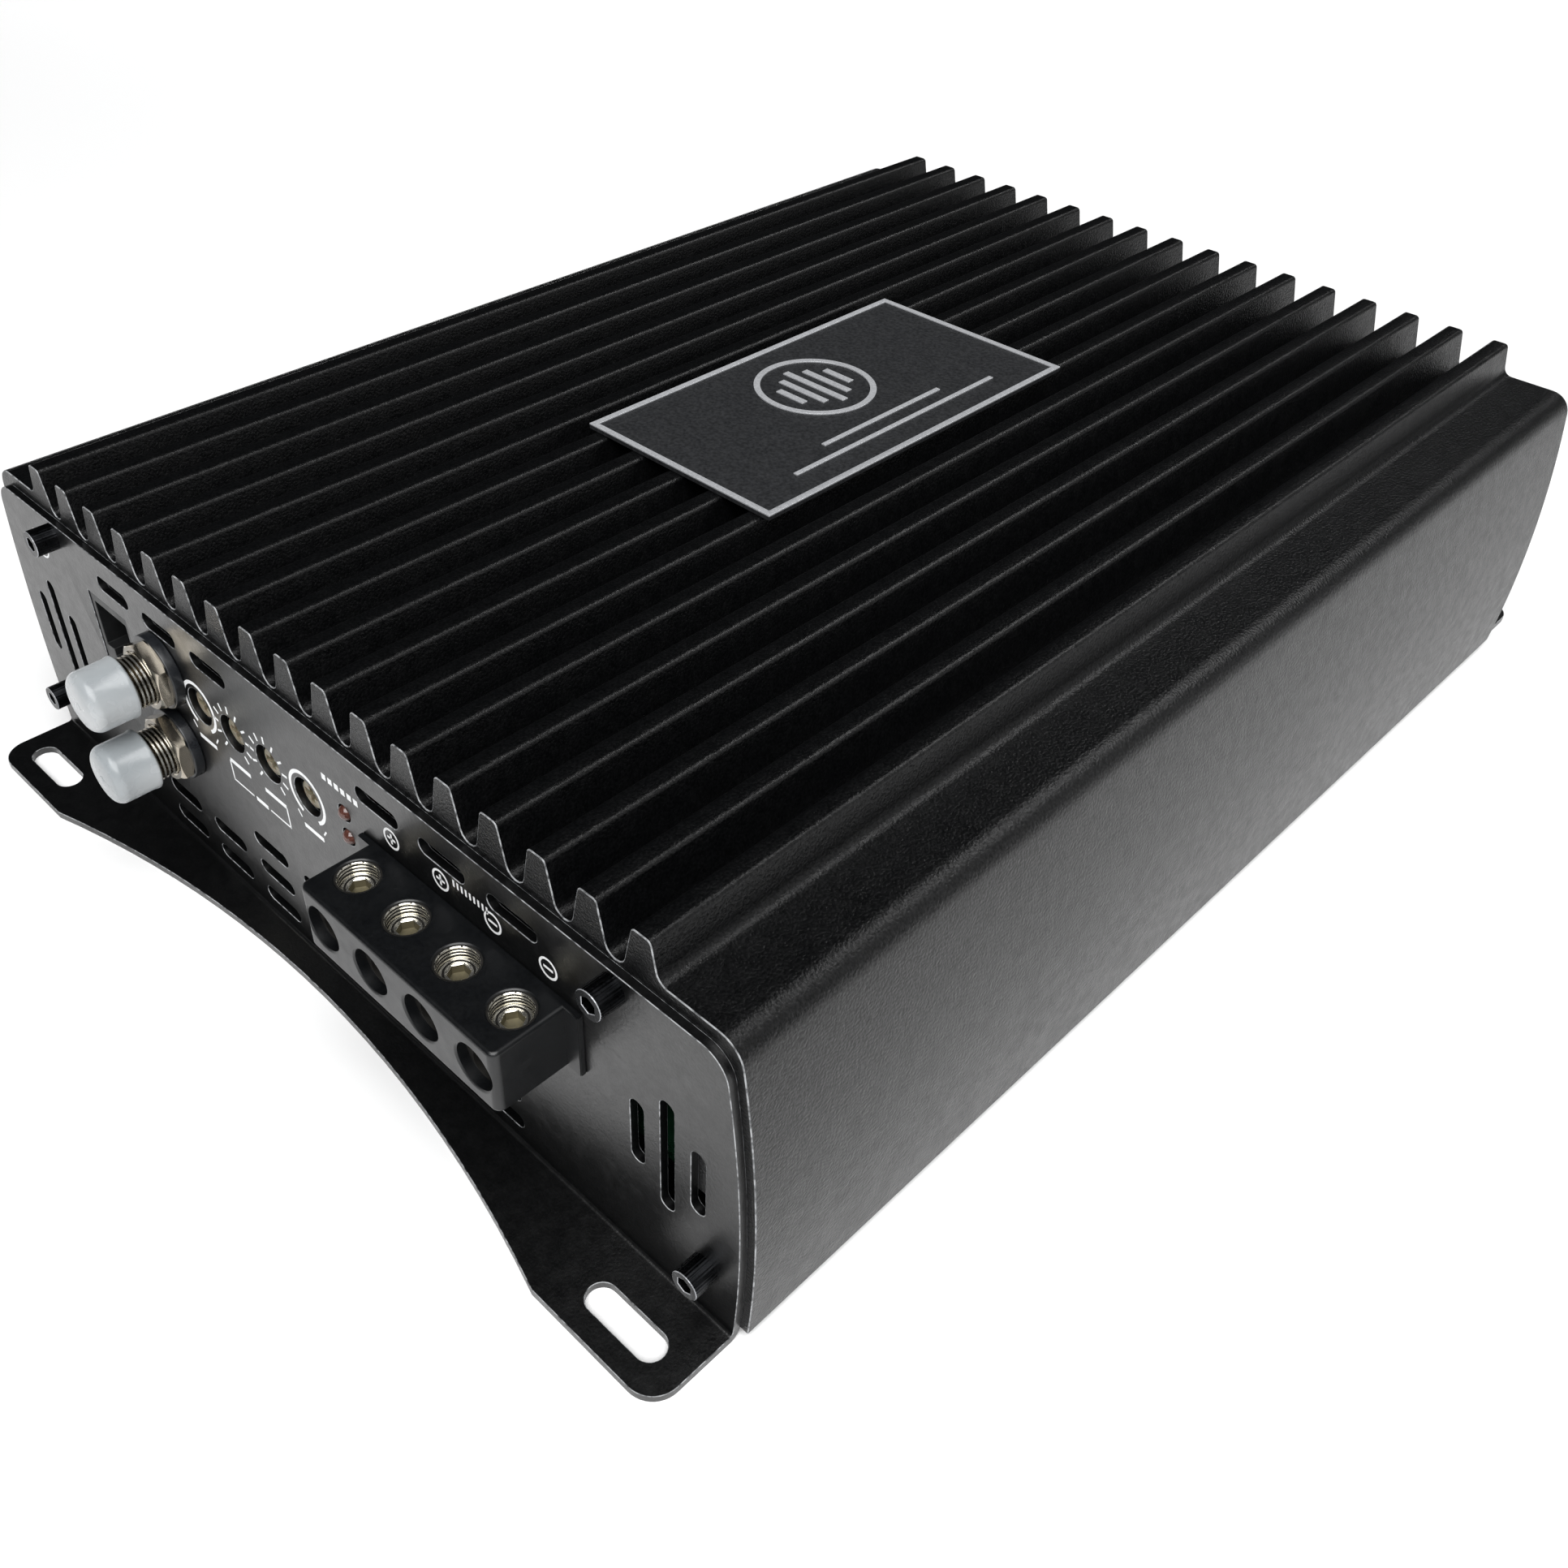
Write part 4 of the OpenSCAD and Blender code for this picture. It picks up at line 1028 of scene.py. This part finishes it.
def wound_ring(name, winding, core, node_slot):
    """A single closed wire wound round a ring core, its turns side by side at the bore."""
    low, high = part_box(core)
    at = (low + high) / 2
    wire = (low.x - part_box(winding)[0].x) * 0.45
    lift, roundness, spacing = wire * 1.05, 0.45, 2.08
    ring_out = (high.x - low.x) / 2
    ring_in = min((Vector(v.co) - at).xy.length for v in nodes[core].data.vertices)
    mid_r, half_w, half_h = (ring_out + ring_in) / 2, (ring_out - ring_in) / 2, (high.z - low.z) / 2
    turns = int(2 * math.pi * (ring_in - wire) / (spacing * wire))
    around, sides = 28, 10

    def spot(i):
        theta = 2 * math.pi * i / (turns * around)
        phi = 2 * math.pi * i / around
        c, s = math.cos(phi), math.sin(phi)
        r = mid_r + (half_w + lift) * math.copysign(abs(c) ** roundness, c)
        z = (half_h + lift) * math.copysign(abs(s) ** roundness, s)
        return at + Vector((r * math.cos(theta), r * math.sin(theta), z)), Vector(
            (mid_r * math.cos(theta), mid_r * math.sin(theta), 0)) + at

    bm = bmesh.new()
    count = turns * around
    path = [spot(i) for i in range(count)]
    rings = []
    for i, (p, middle) in enumerate(path):
        tangent = (path[(i + 1) % count][0] - path[i - 1][0]).normalized()
        normal = p - middle
        normal = (normal - tangent * normal.dot(tangent)).normalized()
        side = tangent.cross(normal)
        rings.append([
            bm.verts.new(p + wire * (normal * math.cos(a) + side * math.sin(a)))
            for a in (2 * math.pi * j / sides for j in range(sides))
        ])
    for i in range(count):
        a, b = rings[i], rings[(i + 1) % count]
        for j in range(sides):
            k = (j + 1) % sides
            bm.faces.new((a[j], a[k], b[k], b[j]))
    piece(name, mesh_from(bm, name, 80), finishes[node_slot], "case", node_slot, winding)


wound_ring("transformer_turns", "transformer_winding", "transformer_core", "copper")
wound_ring("inductor_turns", "inductor_winding", "inductor_core", "copper")
softened("transformer_core", "ferrite", 0.8 * MM, 3, name="transformer_ring")
softened("inductor_core", "ferrite", 0.6 * MM, 3, name="inductor_ring")


def capacitor_cans():
    """Sleeved cans with a rolled groove near the foot and a bare pressed top."""
    bm = bmesh.new()
    for low, high in islands("storage_capacitors"):
        r, tall = (high.x - low.x) / 2, high.z - low.z
        groove, fold, edge = 0.35 * MM, 0.16 * r + 0.4 * MM, 0.6 * MM
        outline = [
            (0, 0), (r - 0.4 * MM, 0), (r, 0.4 * MM), (r, 2.0 * MM), (r - groove, 2.5 * MM),
            (r, 3.0 * MM), *arc(r - edge, tall - edge, edge, 0, 90, 5), (r - fold, tall),
            (r - fold - 0.15 * MM, tall - 0.2 * MM), (0, tall - 0.25 * MM),
        ]
        bands = [0] * (len(outline) - 3) + [1, 1, 0]
        turned(bm, ((low.x + high.x) / 2, (low.y + high.y) / 2, low.z), UP, outline, 64, bands)
    piece("capacitor_cans", mesh_from(bm, "capacitor_cans"), [sleeve_blue, can_aluminium], "case",
          "capacitor_blue", "storage_capacitors")


capacitor_cans()
softened("output_transistors", "device_black", 0.25 * MM, name="output_devices")
softened("supply_transistors", "device_black", 0.25 * MM, name="supply_devices")
softened("transistor_clamps", "zinc", 0.2 * MM, name="device_clamps")


# ---------- CAD nodes that keep their own mesh ----------

for node in nodes.values():
    for slot_of_node in node.material_slots:
        slot_name = slot_of_node.material.name.split(".")[0] if slot_of_node.material else ""
        if slot_name in finishes:
            slot_of_node.material = finishes[slot_name]


# ---------- stage, lights and camera ----------


def floor():
    """White ground under the object, wide enough to fill the picture."""
    half_side = 6
    bm = bmesh.new()
    bmesh.ops.create_grid(bm, x_segments=1, y_segments=1, size=half_side)
    obj = bpy.data.objects.new("floor", mesh_from(bm, "floor"))
    scene.collection.objects.link(obj)
    white = shader(
        "floor_white", Base_Color=rgb(0.92, 0.92, 0.92), Roughness=0.9, Specular_IOR_Level=0.1,
    )[0]
    obj.data.materials.append(white)


def area_light(name, place, aim, size, power, spread=180):
    """Rectangular light at a place, turned to a point; power in watts, spread in degrees."""
    data = bpy.data.lights.new(name, "AREA")
    data.spread = math.radians(spread)
    data.shape = "RECTANGLE"
    data.size, data.size_y = size
    data.energy = power
    obj = bpy.data.objects.new(name, data)
    scene.collection.objects.link(obj)
    obj.location = place
    obj.rotation_mode = "QUATERNION"
    obj.rotation_quaternion = (Vector(aim) - Vector(place)).to_track_quat("-Z", "Y")


def camera():
    """Stands in front of the right-hand corner and looks down on it, rolled slightly."""
    data = bpy.data.cameras.new("camera")
    data.sensor_width = 36
    data.lens = 34.27  # mm, as the sensor's width
    data.shift_x = 0.0357
    data.shift_y = -0.0030
    data.clip_start = 0.01
    obj = bpy.data.objects.new("camera", data)
    scene.collection.objects.link(obj)
    place = Vector((0.1748, -0.2097, 0.2020))
    forward = Vector((-0.5266, 0.5498, -0.6484)).normalized()
    roll = math.radians(1.49)
    level = forward.cross(UP).normalized()
    upright = level.cross(forward)
    right = level * math.cos(roll) + upright * math.sin(roll)
    up = upright * math.cos(roll) - level * math.sin(roll)
    turn = Matrix((right, up, -forward)).transposed()
    obj.matrix_world = Matrix.Translation(place) @ turn.to_4x4()
    scene.camera = obj


floor()
area_light("key_soft", place=(0.75, -0.85, 1.7), aim=(0.05, 0, 0), size=(1.9, 1.9), power=70)
area_light("back_strip", place=(0.42, 1.25, 1.45), aim=(0, 0, 0.06), size=(0.9, 0.26), power=7.5)
area_light("right_wall", place=(1.55, 1.15, 0.85), aim=(0.1, 0, 0.05), size=(1.5, 1.4), power=4.2)
area_light(
    "floor_wash", place=(-1.1, 1.1, 1.6), aim=(-1.3, 1.3, 0), size=(1.4, 1.4), power=18, spread=80
)
camera()

world = bpy.data.worlds.new("studio")
scene.world = world
world.use_nodes = True
background = world.node_tree.nodes["Background"].inputs
background["Color"].default_value = rgb(0.9, 0.95, 1.0)
background["Strength"].default_value = 0.02
scene.view_settings.view_transform = "Standard"
